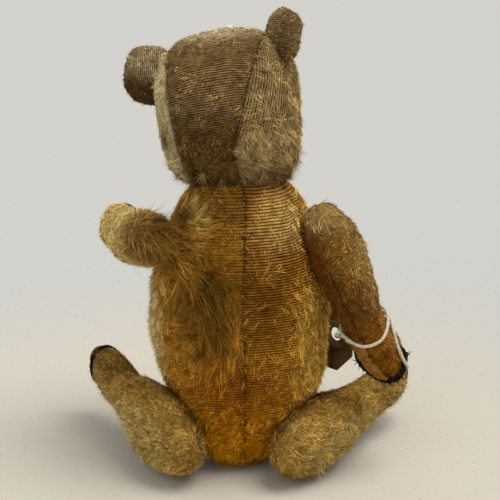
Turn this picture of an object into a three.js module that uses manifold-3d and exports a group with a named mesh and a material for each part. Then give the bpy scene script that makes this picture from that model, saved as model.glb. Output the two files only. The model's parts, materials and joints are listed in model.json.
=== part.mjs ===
// A threadbare, disc-jointed teddy bear, sitting with one arm raised and a card
// tag tied to the other wrist. Millimetres, +Z up, the bear faces -Y, and the
// origin is the flat of its seat. Its own left is +X.

import * as THREE from 'three';
import { mergeVertices } from 'three/addons/utils/BufferGeometryUtils.js';
import Module from 'manifold-3d';

const wasm = await Module();
wasm.setup();

// ---------------------------------------------------------------- dimensions

const CLOTH = 1.5;         // plush or linen cover, with its seam allowance
const GAP = 0.3;           // clearance between pieces that lie on each other
const SEAM = 0.3;          // slit between two panels
const BACK_SEAM = -1.5;    // the body's seam lies a little right of the middle
const REACH = 400;         // side of the blocks that cut a form in two

// Stuffing is drawn with fewer facets, so it lies a little deeper than its cover.
const FILLING = { coarse: 0.65, inset: CLOTH + GAP + 1.6 };

const CARD_DISC = { radius: { neck: 6.8, shoulder: 5.6, hip: 6.2 }, thickness: 1.8, bore: 1.6 };
const WASHER = { radius: 4, thickness: 0.8, bore: 1.5 };
const PIN = { radius: 0.9, wire: 0.5, eye: 1.5, curl: 1.7 };
const PIN_HOLE = 1.5;

const NECK = { centre: [0.5, 2, 133.6], lean: 4, turn: -12 };
const SHOULDER = { across: 30.4, back: 13, height: 106, tilt: 20 };
const SHOULDER_SPLAY = { left: 14, right: 25 };
const HIP = { across: 23.2, back: 10.5, height: 23.5 };
const HIP_TILT = { left: -16, right: -28 };
const HIP_SPLAY = { left: 26, right: 33 };
const ARM_SWING = { left: 74, right: 7 };   // forward from hanging, degrees
const LEG_SWING = { left: 93, right: 90 };

const HEAD_LEAN = 5;       // the head has settled askew on its disc
const HEAD_MIDDLE = 31;    // height of the head's middle above the neck
const EAR = {
  radius: { left: 32, right: 34 }, back: 3, from_top: { left: 60, right: 48 },
  droop: { left: 72, right: 18 }, turn: { left: 0, right: -48 },
};
const EYE = { radius: 3.4, dome: 2.4, seat: 1.5, along: 0.63, around: 48 };

const TAG = { length: 70, width: 35, thickness: 0.8, chamfer: 9, hole: 3.2, hole_in: 10, turn: 45 };
const TAG_HOLE = [-43.5, -14, 56];
const PATCH = { outer: 6.5, thickness: 0.3 };
const STRING = { diameter: 1.5, lift: 0.6, sides: 6, steps: 64, knot: 1.8 };

// The string's route over the right arm, as [degrees round, fraction along]:
// from a knot on the wrist, over the paw's end, then twice round the wrist.
const STRING_ON_ARM = [
  [-200, 0.67], [-175, 0.74], [-150, 0.83], [-120, 0.92], [-80, 0.965], [-30, 0.97], [2, 0.95], [14, 0.9],
  [17, 0.84], [12, 0.77], [-2, 0.71], [-35, 0.66], [-80, 0.63], [-130, 0.61],
  [-180, 0.60], [-222, 0.62], [-268, 0.67], [-312, 0.68], [-352, 0.655], [-400, 0.62],
  [-450, 0.59], [-495, 0.57], [-532, 0.562],
];
// Then on to the tag, as [along, up, out] from the middle of its hole.
const STRING_TO_TAG = [[-13, 3.5, -6], [-7.5, 1.4, -4.4], [-3, 0.2, -3], [-0.7, 0, -0.8], [0, 0, 1.4]];

// ------------------------------------------------------------------- colours

const COLOUR = {
  gold: 0xa9772c, straw: 0xa78a55, taupe: 0x8c7148, linen: 0x8f6c3d, felt: 0x8b8067,
  wool: 0xb59a63, card: 0x8a765a, steel: 0x84827d, thread: 0x1b1714, boot: 0x14110f,
  cotton: 0xd8cdb8,
};

// ----------------------------------------------------------- stuffed forms

const SIDE = new THREE.Vector3(1, 0, 0);

function smooth(points) {
  return new THREE.CatmullRomCurve3(points, false, 'catmullrom', 0.5);
}

// A stuffed form is a closed skin round a spine that lies in the YZ plane.
// Each station is [y, z, half width, depth on the near side, depth on the far
// side]; near is the spine's direction turned a quarter away from +X.
function makeForm({ stations, across = 0, ends = 2.5, section = 2.2, around, along }) {
  const spine = smooth(stations.map(([y, z]) => new THREE.Vector3(across, y, z)));
  const girth = smooth(stations.map(([, , half, near, far]) => new THREE.Vector3(half, near, far)));
  return { spine, girth, ends, section, around, along };
}

function power(value, exponent) {
  return Math.sign(value) * Math.abs(value) ** exponent;
}

// The skin at fraction s along the spine and an angle round it. A negative
// inset stands proud of the skin, past both ends of the spine too.
function formPoint(form, s, angle, inset = 0) {
  const length = form.spine.getLength();
  const run = inset / length + (1 - 2 * inset / length) * s;
  const t = THREE.MathUtils.clamp(run, 0, 1);
  const girth = form.girth.getPoint(t);
  const tangent = form.spine.getTangent(t);
  const near = new THREE.Vector3().crossVectors(tangent, SIDE);
  const swell = (1 - Math.abs(2 * s - 1) ** form.ends) ** (1 / form.ends);
  const wide = power(Math.cos(angle), 2 / form.section);
  const deep = power(Math.sin(angle), 2 / form.section);
  const depth = (deep > 0 ? girth.y : girth.z) - inset;
  return form.spine.getPoint(t)
    .addScaledVector(tangent, (run - t) * length)
    .addScaledVector(SIDE, (girth.x - inset) * swell * wide)
    .addScaledVector(near, depth * swell * deep);
}

function formGeometry(form, inset = 0, coarse = 1) {
  const geometry = new THREE.SphereGeometry(1, Math.round(form.around * coarse),
    Math.round(form.along * coarse));
  const place = geometry.attributes.position;
  for (let i = 0; i < place.count; i += 1) {
    const s = THREE.MathUtils.clamp((1 - place.getY(i)) / 2, 0, 1);
    const point = formPoint(form, s, Math.atan2(place.getZ(i), place.getX(i)), inset);
    place.setXYZ(i, point.x, point.y, point.z);
  }
  return geometry;
}

// ------------------------------------------------------- joining and cutting

function solid(geometry) {
  const plain = new THREE.BufferGeometry();
  plain.setAttribute('position', geometry.attributes.position);
  plain.setIndex(geometry.index);
  const merged = mergeVertices(plain, 1e-4);
  return new wasm.Manifold(new wasm.Mesh({
    numProp: 3,
    vertProperties: new Float32Array(merged.attributes.position.array),
    triVerts: new Uint32Array(merged.index.array),
  }));
}

function geometryOf(shape) {
  const { vertProperties, triVerts } = shape.getMesh();
  const geometry = new THREE.BufferGeometry();
  geometry.setAttribute('position', new THREE.BufferAttribute(vertProperties, 3));
  geometry.setIndex(new THREE.BufferAttribute(triVerts, 1));
  return geometry;
}

// Everything on the side of a plane that the normal points to.
function beyond(point, normal) {
  const block = new THREE.BoxGeometry(REACH, REACH, REACH);
  block.translate(0, 0, REACH / 2);
  block.applyQuaternion(new THREE.Quaternion().setFromUnitVectors(
    new THREE.Vector3(0, 0, 1), normal.clone().normalize()));
  block.translate(point.x, point.y, point.z);
  return solid(block);
}

function beyondX(x, sign = 1) {
  return beyond(new THREE.Vector3(x, 0, 0), new THREE.Vector3(sign, 0, 0));
}

// A rod along X, for pin holes and for the room that discs need.
function rodAlongX(radius, from, to, sides = 12) {
  const rod = new THREE.CylinderGeometry(radius, radius, to - from, sides);
  rod.rotateZ(Math.PI / 2);
  rod.translate((from + to) / 2, 0, 0);
  return rod;
}

// ------------------------------------------------------------ scene building

const bear = new THREE.Group();

function material(colour, roughness = 0.95, metalness = 0) {
  return new THREE.MeshStandardMaterial({ color: colour, roughness, metalness });
}

function addPiece(parent, name, geometry, look) {
  const mesh = new THREE.Mesh(geometry, look);
  mesh.name = name;
  parent.add(mesh);
  return mesh;
}

const LOOK = {
  gold: material(COLOUR.gold), straw: material(COLOUR.straw), taupe: material(COLOUR.taupe),
  linen: material(COLOUR.linen), felt: material(COLOUR.felt), wool: material(COLOUR.wool),
  card: material(COLOUR.card, 0.9), steel: material(COLOUR.steel, 0.5, 0.9),
  thread: material(COLOUR.thread), boot: material(COLOUR.boot, 0.3), cotton: material(COLOUR.cotton),
};

// A joint's group: its X axis is the joint's axis and points out of the body,
// and its Z axis leans as little from upright as it can.
function jointGroup(name, centre, axis) {
  const upright = Math.abs(axis.z) > 0.9 ? new THREE.Vector3(0, 1, 0) : new THREE.Vector3(0, 0, 1);
  const y = new THREE.Vector3().crossVectors(upright, axis).normalize();
  const z = new THREE.Vector3().crossVectors(axis, y);
  const group = new THREE.Group();
  group.name = name;
  group.position.copy(centre);
  group.quaternion.setFromRotationMatrix(new THREE.Matrix4().makeBasis(axis, y, z));
  bear.add(group);
  group.updateMatrixWorld(true);
  return group;
}

function splayedAxis(side, splay, tilt) {
  const [a, b] = [splay, tilt].map(THREE.MathUtils.degToRad);
  return new THREE.Vector3(side * Math.cos(b) * Math.cos(a), Math.cos(b) * Math.sin(a), Math.sin(b));
}

const SIDES = { left: 1, right: -1 };
const joints = { neck: jointGroup('neck', new THREE.Vector3(...NECK.centre),
  new THREE.Vector3(Math.sin(THREE.MathUtils.degToRad(NECK.lean)), 0,
    Math.cos(THREE.MathUtils.degToRad(NECK.lean)))) };
for (const [name, side] of Object.entries(SIDES)) {
  joints[`shoulder_${name}`] = jointGroup(`shoulder_${name}`,
    new THREE.Vector3(side * SHOULDER.across, SHOULDER.back, SHOULDER.height),
    splayedAxis(side, SHOULDER_SPLAY[name], SHOULDER.tilt));
  joints[`hip_${name}`] = jointGroup(`hip_${name}`,
    new THREE.Vector3(side * HIP.across, HIP.back, HIP.height),
    splayedAxis(side, HIP_SPLAY[name], HIP_TILT[name]));
}

// A shape given in a joint's group, as a solid in the bear's frame.
function placed(geometry, group) {
  return solid(geometry.clone().applyMatrix4(group.matrixWorld));
}

// --------------------------------------------------------- joint ironmongery

// A flat ring between two places along X.
function ring(outer, bore, from, thickness, sides) {
  const profile = [[bore, 0], [outer, 0], [outer, thickness], [bore, thickness], [bore, 0]];
  const geometry = new THREE.LatheGeometry(profile.map(([x, y]) => new THREE.Vector2(x, y)), sides);
  geometry.rotateZ(-Math.PI / 2);
  geometry.translate(from, 0, 0);
  return geometry;
}

// A round rod bent along a smooth line through some points.
function bentRod(points, radius, sides, steps) {
  const corners = Array.from({ length: sides }, (_, i) => {
    const angle = (2 * Math.PI * i) / sides;
    return new THREE.Vector2(radius * Math.cos(angle), radius * Math.sin(angle));
  });
  return new THREE.ExtrudeGeometry(new THREE.Shape(corners), {
    steps, bevelEnabled: false, extrudePath: smooth(points),
  });
}

// A split pin: a closed eye in the limb and two tails curled over in the body.
function pinGeometry(inner, outer) {
  const shank = new THREE.CylinderGeometry(PIN.radius, PIN.radius, outer - inner, 8);
  shank.rotateZ(Math.PI / 2);
  shank.translate((outer + inner) / 2, 0, 0);
  const eye = new THREE.TorusGeometry(PIN.eye, PIN.wire, 4, 6);
  eye.translate(outer + PIN.eye, 0, 0);
  let pin = solid(shank).add(solid(eye));
  for (const side of [-1, 1]) {
    const tail = bentRod([
      new THREE.Vector3(inner + 0.8, side * 0.2, 0),
      new THREE.Vector3(inner - PIN.curl * 0.7, side * 0.7, 0),
      new THREE.Vector3(inner - PIN.curl, side * (0.7 + PIN.curl * 0.6), 0),
      new THREE.Vector3(inner - PIN.curl * 0.3, side * (0.7 + PIN.curl * 1.2), 0),
    ], PIN.wire, 4, 4);
    pin = pin.add(solid(tail));
  }
  return geometryOf(pin);
}

// How far each piece of a joint lies from the face between body and limb.
const FACE = GAP / 2;
const DISC_AT = FACE + CLOTH + GAP;
const WASHER_AT = DISC_AT + CARD_DISC.thickness + GAP;
const PIN_AT = WASHER_AT + WASHER.thickness + GAP;
const POCKET = PIN_AT + PIN.eye * 2 + PIN.wire + GAP;

function addJointHardware(kind, name, bodySide, limbSide) {
  const disc = CARD_DISC.radius[kind];
  const rings = [
    [`${name}_body_disc`, bodySide, disc, CARD_DISC.bore, -DISC_AT - CARD_DISC.thickness,
      CARD_DISC.thickness, 12, LOOK.card],
    [`${name}_body_washer`, bodySide, WASHER.radius, WASHER.bore, -WASHER_AT - WASHER.thickness,
      WASHER.thickness, 8, LOOK.steel],
    [`${name}_limb_disc`, limbSide, disc, CARD_DISC.bore, DISC_AT, CARD_DISC.thickness, 12, LOOK.card],
    [`${name}_limb_washer`, limbSide, WASHER.radius, WASHER.bore, WASHER_AT,
      WASHER.thickness, 8, LOOK.steel],
  ];
  for (const [piece, parent, outer, bore, from, thickness, sides, look] of rings) {
    addPiece(parent, piece, ring(outer, bore, from, thickness, sides), look);
  }
  addPiece(bodySide, `${name}_pin`, pinGeometry(-PIN_AT, PIN_AT), LOOK.steel);
}

// Room in the stuffing for the disc, the washer and the pin's end.
function pocketGeometries(kind, sign) {
  const disc = CARD_DISC.radius[kind] + 0.6;
  const spans = [[disc, 0, DISC_AT + CARD_DISC.thickness + GAP], [WASHER.radius + 0.6, 0, POCKET]];
  return spans.map(([radius, from, to]) => (sign > 0
    ? rodAlongX(radius, from - 0.1, to) : rodAlongX(radius, -to, -from + 0.1)));
}

// ---------------------------------------------------------------------- body

const BODY = makeForm({
  around: 18, along: 14,
  stations: [
    [-1, -1.5, 29, 25, 26],
    [-1, 21.5, 33.5, 27, 29],
    [-1, 44.5, 37.8, 30, 35],
    [0, 68, 39, 32, 37],
    [2, 91, 38.6, 34, 34],
    [3, 114.5, 36.5, 34, 30],
    [3, 138, 34, 30, 28],
  ],
});

function bodyFaces(depth) {
  const faces = Object.values(joints).map((group) => {
    const axis = new THREE.Vector3(1, 0, 0).transformDirection(group.matrixWorld);
    return beyond(group.position.clone().addScaledVector(axis, -FACE - depth), axis);
  });
  faces.push(beyond(new THREE.Vector3(0, 0, depth), new THREE.Vector3(0, 0, -1)));
  return faces;
}

function cutAll(shape, cutters) {
  return cutters.reduce((left, cutter) => left.subtract(cutter), shape);
}

function pinHoles(sign) {
  const [from, to] = sign < 0 ? [-POCKET, 0] : [0, POCKET];
  return rodAlongX(PIN_HOLE, from, to, 10);
}

function addBody() {
  const holes = Object.values(joints).map((group) => placed(pinHoles(-1), group));
  const outside = cutAll(solid(formGeometry(BODY)), bodyFaces(0));
  const inside = cutAll(solid(formGeometry(BODY, CLOTH)), bodyFaces(CLOTH));
  const cover = cutAll(outside.subtract(inside), holes);
  const left = cover.intersect(beyondX(BACK_SEAM + SEAM / 2));
  const right = cover.intersect(beyondX(BACK_SEAM - SEAM / 2, -1));
  addPiece(bear, 'body_cover_left', geometryOf(left), LOOK.gold);
  addPiece(bear, 'body_cover_right', geometryOf(right), LOOK.gold);
  const pockets = Object.entries(joints).flatMap(([name, group]) => (
    pocketGeometries(name.split('_')[0], -1).map((rod) => placed(rod, group))));
  const core = solid(formGeometry(BODY, FILLING.inset, FILLING.coarse));
  const filling = cutAll(core, [...bodyFaces(CLOTH + GAP), ...pockets]);
  addPiece(bear, 'body_stuffing', geometryOf(filling), LOOK.wool);
}

// --------------------------------------------------------------------- limbs

const LIMB = {
  arm: {
    kind: 'shoulder', across: 9.6, around: 12, along: 11,
    stations: [
      [0, 16.5, 15, 12.8, 12.8],
      [0, -0.5, 14.2, 13.6, 13.2],
      [0, -15, 12, 12.4, 12.2],
      [-0.5, -29.5, 9.8, 10.8, 10.6],
      [-2.5, -44, 9.2, 10, 9.8],
      [-7, -58, 11, 11.6, 11.4],
      [-13, -71, 12, 12, 11.4],
    ],
  },
  leg: {
    kind: 'hip', across: 11.2, around: 12, along: 12,
    stations: [
      [0, 25, 14, 18, 20],
      [0, 7, 14.8, 20, 22],
      [0, -11, 13.4, 18.5, 18.5],
      [0, -29, 10.8, 14.5, 11.5],
      [0, -47, 9.2, 10.5, 8],
      [-2, -65, 10, 14.5, 8.2],
      [-4, -83, 10.2, 17, 8.4],
    ],
  },
};
const SOLE_AT = -71;
const PAW_PAD = { from: -49, slope: 0.5 };

// The floor, seen from a group inside the bear.
function floorIn(group, depth) {
  const inverse = group.matrixWorld.clone().invert();
  const point = new THREE.Vector3(0, 0, depth).applyMatrix4(inverse);
  return beyond(point, new THREE.Vector3(0, 0, -1).transformDirection(inverse));
}

// Stations are drawn for a left limb that curls towards -Y.
function limbForm(spec, forward) {
  if (forward < 0) {
    return makeForm(spec);
  }
  const stations = spec.stations.map(([y, z, half, near, far]) => [-y, z, half, far, near]);
  return makeForm({ ...spec, stations });
}

function swungGroup(parent, side, degrees) {
  const group = new THREE.Group();
  group.rotation.x = -side * THREE.MathUtils.degToRad(degrees);
  parent.add(group);
  group.updateMatrixWorld(true);
  return group;
}

function addLimb(name, spec, side, jointName, swing, look) {
  const joint = joints[jointName];
  const group = swungGroup(joint, side, swing);
  const form = limbForm(spec, -side);
  const skin = (cut, inset = cut, coarse = 1) => cutAll(solid(formGeometry(form, inset, coarse)),
    [beyondX(FACE + cut, -1), floorIn(group, cut)]);
  const outside = skin(0);
  const shell = outside.subtract(skin(CLOTH)).subtract(solid(pinHoles(1)));
  let filling = cutAll(skin(CLOTH + GAP, FILLING.inset, FILLING.coarse),
    pocketGeometries(spec.kind, 1).map(solid));
  let panels = shell;
  if (spec === LIMB.leg) {
    const up = new THREE.Vector3(0, 0, 1);
    const down = new THREE.Vector3(0, 0, -1);
    const foot = outside.subtract(beyond(new THREE.Vector3(0, 0, SOLE_AT), down));
    const sole = foot.subtract(beyond(new THREE.Vector3(0, 0, SOLE_AT + CLOTH), up));
    addPiece(group, `${name}_sole_pad`, geometryOf(sole), LOOK.felt);
    const upper = beyond(new THREE.Vector3(0, 0, SOLE_AT + CLOTH + GAP), down);
    panels = shell.subtract(upper);
    filling = filling.subtract(upper);
  } else {
    const normal = new THREE.Vector3(0, side * PAW_PAD.slope, -1);
    const inner = beyondX(form.spine.getPoint(0).x - SEAM / 2, -1);
    const paw = beyond(new THREE.Vector3(0, 0, PAW_PAD.from - SEAM), normal).intersect(inner);
    const room = beyond(new THREE.Vector3(0, 0, PAW_PAD.from), normal)
      .intersect(beyondX(form.spine.getPoint(0).x, -1));
    addPiece(group, `${name}_paw_pad`, geometryOf(shell.intersect(paw)), LOOK.felt);
    panels = shell.subtract(room);
  }
  const middle = form.spine.getPoint(0).x;
  addPiece(group, `${name}_outer`, geometryOf(panels.intersect(beyondX(middle + SEAM / 2))), look);
  addPiece(group, `${name}_inner`, geometryOf(panels.intersect(beyondX(middle - SEAM / 2, -1))), look);
  addPiece(group, `${name}_stuffing`, geometryOf(filling), LOOK.wool);
  addJointHardware(spec.kind, jointName, joint, group);
  return { group, form };
}

// ---------------------------------------------------------------------- head

const HEAD = makeForm({
  around: 20, along: 15, section: 2.7,
  stations: [
    [30, 31, 26, 26, 33],
    [19.5, 32, 30, 29.5, 38],
    [9, 32, 31, 32, 38],
    [-2, 31, 30.3, 32, 38],
    [-13, 28.5, 26.5, 28, 31],
    [-24, 25, 19.5, 17, 18],
    [-35, 23, 16.5, 13.5, 15],
    [-46, 22, 13, 11, 12],
  ],
});
const GUSSET = { nose: 7, crown: 21, nape: 9, nose_y: -46, nape_y: 20, nose_z: 22 };

function prism(outline, axis) {
  const shape = new THREE.Shape(outline.map(([a, b]) => new THREE.Vector2(a, b)));
  const geometry = new THREE.ExtrudeGeometry(shape, { depth: REACH, bevelEnabled: false });
  geometry.translate(0, 0, -REACH / 2);
  if (axis === 'y') {
    geometry.rotateX(Math.PI / 2);
  }
  return solid(geometry);
}

// The strip that runs from the nose over the crown to the nape.
function gussetRoom(spare) {
  const { nose, crown, nape } = GUSSET;
  const plan = prism([
    [-nose - spare, -60], [nose + spare, -60], [crown + spare, 0], [crown + spare, 60],
    [-crown - spare, 60], [-crown - spare, 0],
  ], 'z');
  const back = prism([
    [-nape - spare, -5], [nape + spare, -5], [crown + 3 + spare, 80], [-crown - 3 - spare, 80],
  ], 'y');
  const rise = GUSSET.nose_z / (GUSSET.nape_y - GUSSET.nose_y);
  const above = beyond(new THREE.Vector3(0, GUSSET.nape_y, -spare), new THREE.Vector3(0, rise, 1));
  return plan.intersect(back).intersect(above);
}

function leaned(geometry) {
  return geometry.rotateY(THREE.MathUtils.degToRad(HEAD_LEAN));
}

function headSkin(cut, inset = cut, coarse = 1) {
  const base = beyond(new THREE.Vector3(0, 0, FACE + cut), new THREE.Vector3(0, 0, -1));
  return solid(leaned(formGeometry(HEAD, inset, coarse))).subtract(base);
}

// An ear is two layers of cloth sewn round the edge, cupped towards the face.
function earGeometry(side) {
  const ear = makeForm({
    around: 12, along: 8, ends: 2.4, section: 2.2,
    stations: [[0, -9, 12, 2, 2], [1, 0, 12.6, 2.2, 2.2], [0, 8, 12.8, 2.2, 2.2], [-3, 16, 12, 1.8, 1.8]],
  });
  const geometry = formGeometry(ear);
  const place = geometry.attributes.position;
  const cup = 0.02;
  for (let i = 0; i < place.count; i += 1) {
    place.setY(i, place.getY(i) - cup * place.getX(i) ** 2);
  }
  const name = side > 0 ? 'left' : 'right';
  const around = THREE.MathUtils.degToRad(EAR.from_top[name]);
  geometry.rotateZ(THREE.MathUtils.degToRad(EAR.turn[name]));
  geometry.rotateY(side * THREE.MathUtils.degToRad(EAR.droop[name]));
  geometry.translate(side * EAR.radius[name] * Math.sin(around), EAR.back,
    HEAD_MIDDLE + EAR.radius[name] * Math.cos(around));
  return leaned(geometry);
}

// A boot button: a shallow dome sewn down beside the muzzle.
function eyeGeometry(side) {
  const { radius, dome, seat, along } = EYE;
  const around = THREE.MathUtils.degToRad(side > 0 ? EYE.around : 180 - EYE.around);
  const step = 0.02;
  const point = formPoint(HEAD, along, around);
  const forward = formPoint(HEAD, along + step, around).sub(point);
  const turn = formPoint(HEAD, along, around + step).sub(point);
  const normal = turn.cross(forward).normalize();
  const arc = Array.from({ length: 5 }, (_, i) => {
    const angle = (Math.PI / 2) * (i / 4);
    return new THREE.Vector2(radius * Math.cos(angle), dome * Math.sin(angle));
  });
  arc[4].x = 0;
  const profile = [new THREE.Vector2(0, -seat), new THREE.Vector2(radius * 0.8, -seat), ...arc];
  const geometry = new THREE.LatheGeometry(profile, 14);
  geometry.applyQuaternion(new THREE.Quaternion().setFromUnitVectors(
    new THREE.Vector3(0, 1, 0), normal));
  geometry.translate(point.x, point.y, point.z);
  return leaned(geometry);
}

// Nose and mouth are raised bands of satin stitches.
function noseGeometry() {
  const nose = new THREE.SphereGeometry(1, 12, 8);
  nose.scale(6.5, 3, 4.6);
  nose.translate(0, -45.2, 27);
  return leaned(nose);
}

function mouthGeometry() {
  const arms = [[[0, -47, 22.5], [0, -46.5, 19.5], [0, -45, 16.5]],
    [[-6, -41.5, 14.5], [-2.5, -44.2, 15.2], [0, -45, 16.8], [2.5, -44.2, 15.2], [6, -41.5, 14.5]]];
  const shapes = arms.map((points) => (
    solid(leaned(bentRod(points.map((p) => new THREE.Vector3(...p)), 1.5, 6, 6)))));
  return geometryOf(shapes[0].add(shapes[1]));
}

function addHead() {
  const axis = joints.neck;
  // The joint's X axis is upright here, so the head's group turns it back.
  const group = new THREE.Group();
  group.quaternion.setFromRotationMatrix(new THREE.Matrix4().makeBasis(
    new THREE.Vector3(0, 1, 0), new THREE.Vector3(0, 0, 1), new THREE.Vector3(1, 0, 0)));
  axis.add(group);
  const turned = new THREE.Group();
  turned.rotation.z = THREE.MathUtils.degToRad(NECK.turn);
  group.add(turned);
  bear.updateMatrixWorld(true);
  const toX = new THREE.Matrix4().makeRotationY(-Math.PI / 2);
  const upright = (geometry) => solid(geometry.clone().applyMatrix4(toX));
  const outside = headSkin(0);
  const proud = headSkin(-GAP);
  const shell = outside.subtract(headSkin(CLOTH)).subtract(upright(pinHoles(1)));
  addPiece(turned, 'head_gusset', geometryOf(shell.intersect(gussetRoom(0))), LOOK.taupe);
  const sides = shell.subtract(gussetRoom(SEAM));
  addPiece(turned, 'head_side_left', geometryOf(sides.intersect(beyondX(SEAM / 2))), LOOK.taupe);
  addPiece(turned, 'head_side_right', geometryOf(sides.intersect(beyondX(-SEAM / 2, -1))), LOOK.taupe);
  const filling = cutAll(headSkin(CLOTH + GAP, FILLING.inset, FILLING.coarse),
    pocketGeometries('neck', 1).map(upright));
  addPiece(turned, 'head_stuffing', geometryOf(filling), LOOK.wool);
  for (const [name, side] of Object.entries(SIDES)) {
    addPiece(turned, `ear_${name}`, geometryOf(solid(earGeometry(side)).subtract(proud)), LOOK.taupe);
    addPiece(turned, `eye_${name}`, geometryOf(solid(eyeGeometry(side)).subtract(proud)), LOOK.boot);
  }
  const nose = solid(noseGeometry()).subtract(proud);
  addPiece(turned, 'nose_stitching', geometryOf(nose), LOOK.thread);
  const mouth = solid(mouthGeometry()).subtract(proud);
  addPiece(turned, 'mouth_stitching', geometryOf(mouth), LOOK.thread);
  const ironmongery = new THREE.Group();
  ironmongery.rotation.y = -Math.PI / 2;
  turned.add(ironmongery);
  addJointHardware('neck', 'neck', joints.neck, ironmongery);
}

// ----------------------------------------------------------- tag and string

function tagShape() {
  const { length, width, chamfer, hole, hole_in: inset } = TAG;
  const half = width / 2;
  const shape = new THREE.Shape([
    [-inset, -half + chamfer], [-inset + chamfer, -half], [length - inset, -half],
    [length - inset, half], [-inset + chamfer, half], [-inset, half - chamfer],
  ].map(([a, b]) => new THREE.Vector2(a, b)));
  const bore = new THREE.Path();
  bore.absarc(0, 0, hole, 0, 2 * Math.PI, true);
  shape.holes.push(bore);
  return shape;
}

function addTag(parent) {
  const group = new THREE.Group();
  const turn = THREE.MathUtils.degToRad(TAG.turn);
  const along = new THREE.Vector3(Math.cos(turn), -Math.sin(turn), 0);
  const up = new THREE.Vector3(0, 0, 1);
  const out = new THREE.Vector3().crossVectors(along, up);
  const frame = new THREE.Matrix4().makeBasis(along, up, out).setPosition(...TAG_HOLE);
  group.applyMatrix4(parent.matrixWorld.clone().invert().multiply(frame));
  parent.add(group);
  const card = new THREE.ExtrudeGeometry(tagShape(), {
    depth: TAG.thickness, bevelEnabled: false, curveSegments: 8,
  });
  card.translate(0, 0, -TAG.thickness / 2);
  addPiece(group, 'swing_tag', card, LOOK.card);
  const patch = ring(PATCH.outer, TAG.hole + 0.4, 0, PATCH.thickness, 16);
  patch.rotateY(Math.PI / 2);
  patch.translate(0, 0, -TAG.thickness / 2 - GAP);
  addPiece(group, 'tag_patch', patch, LOOK.card);
  group.updateMatrixWorld(true);
  return group;
}

// The string lies on the arm's skin, then runs free to the tag and through it.
function stringPoints({ form, group }, tag) {
  const lift = -(STRING.diameter / 2 + STRING.lift);
  const wound = STRING_ON_ARM.map(([degrees, s]) => (
    formPoint(form, s, THREE.MathUtils.degToRad(degrees), lift)));
  const toArm = group.matrixWorld.clone().invert().multiply(tag.matrixWorld);
  const free = STRING_TO_TAG.map((point) => new THREE.Vector3(...point).applyMatrix4(toArm));
  return [...wound, ...free];
}

function addString(arm, tag) {
  const points = stringPoints(arm, tag);
  const string = bentRod(points, STRING.diameter / 2, STRING.sides, STRING.steps);
  addPiece(arm.group, 'tag_string', string, LOOK.cotton);
  const knot = new THREE.SphereGeometry(STRING.knot, 8, 6);
  const end = STRING_TO_TAG.at(-1)[2] + GAP + STRING.knot;
  knot.scale(1, 1.2, 1);
  knot.translate(0, 0, end);
  addPiece(tag, 'string_knot', knot, LOOK.cotton);
}

// ------------------------------------------------------------------ assembly

addBody();
addHead();
const arms = {};
for (const [name, side] of Object.entries(SIDES)) {
  const look = name === 'left' ? LOOK.straw : LOOK.linen;
  arms[name] = addLimb(`arm_${name}`, LIMB.arm, side, `shoulder_${name}`, ARM_SWING[name], look);
  addLimb(`leg_${name}`, LIMB.leg, side, `hip_${name}`, LEG_SWING[name], LOOK.straw);
}
addString(arms.right, addTag(arms.right.group));

export default bear;
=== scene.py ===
"""A small jointed mohair bear, worn down to its ribbed backing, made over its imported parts.

Lengths are millimetres until a mesh is made. The bear faces -Y and +X is its left side.
"""
import json
import math

import bpy
import numpy as np
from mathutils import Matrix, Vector, kdtree

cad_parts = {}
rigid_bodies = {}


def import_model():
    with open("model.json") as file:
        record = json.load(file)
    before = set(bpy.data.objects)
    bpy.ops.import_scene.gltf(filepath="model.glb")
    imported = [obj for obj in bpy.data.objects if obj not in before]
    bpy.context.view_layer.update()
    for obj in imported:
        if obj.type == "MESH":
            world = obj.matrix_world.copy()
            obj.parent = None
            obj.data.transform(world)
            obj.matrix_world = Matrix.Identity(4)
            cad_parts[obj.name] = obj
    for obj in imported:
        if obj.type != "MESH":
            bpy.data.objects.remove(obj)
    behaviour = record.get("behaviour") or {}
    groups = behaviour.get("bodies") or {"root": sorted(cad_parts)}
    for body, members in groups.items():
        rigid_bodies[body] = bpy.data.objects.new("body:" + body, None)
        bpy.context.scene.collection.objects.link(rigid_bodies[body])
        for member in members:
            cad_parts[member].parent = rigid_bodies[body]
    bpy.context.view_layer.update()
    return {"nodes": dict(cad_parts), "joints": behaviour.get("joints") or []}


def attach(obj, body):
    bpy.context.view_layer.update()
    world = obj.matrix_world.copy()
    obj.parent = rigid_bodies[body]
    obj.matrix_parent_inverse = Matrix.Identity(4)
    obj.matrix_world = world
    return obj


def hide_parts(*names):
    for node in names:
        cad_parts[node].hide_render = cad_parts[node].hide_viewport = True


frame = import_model()

MM = 0.001

# ------------------------------------------------------------------ the pattern

FACE = 0.15          # half the gap where two joined parts meet
BACK_SEAM = -1.5     # the body's seam lies a little right of the middle
RIB = 1.2            # rib spacing of the backing cloth
KNOT = 0.9           # thread spacing along a rib
FINE_RIB = 1.15      # the limbs are cut from a finer cloth

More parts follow.
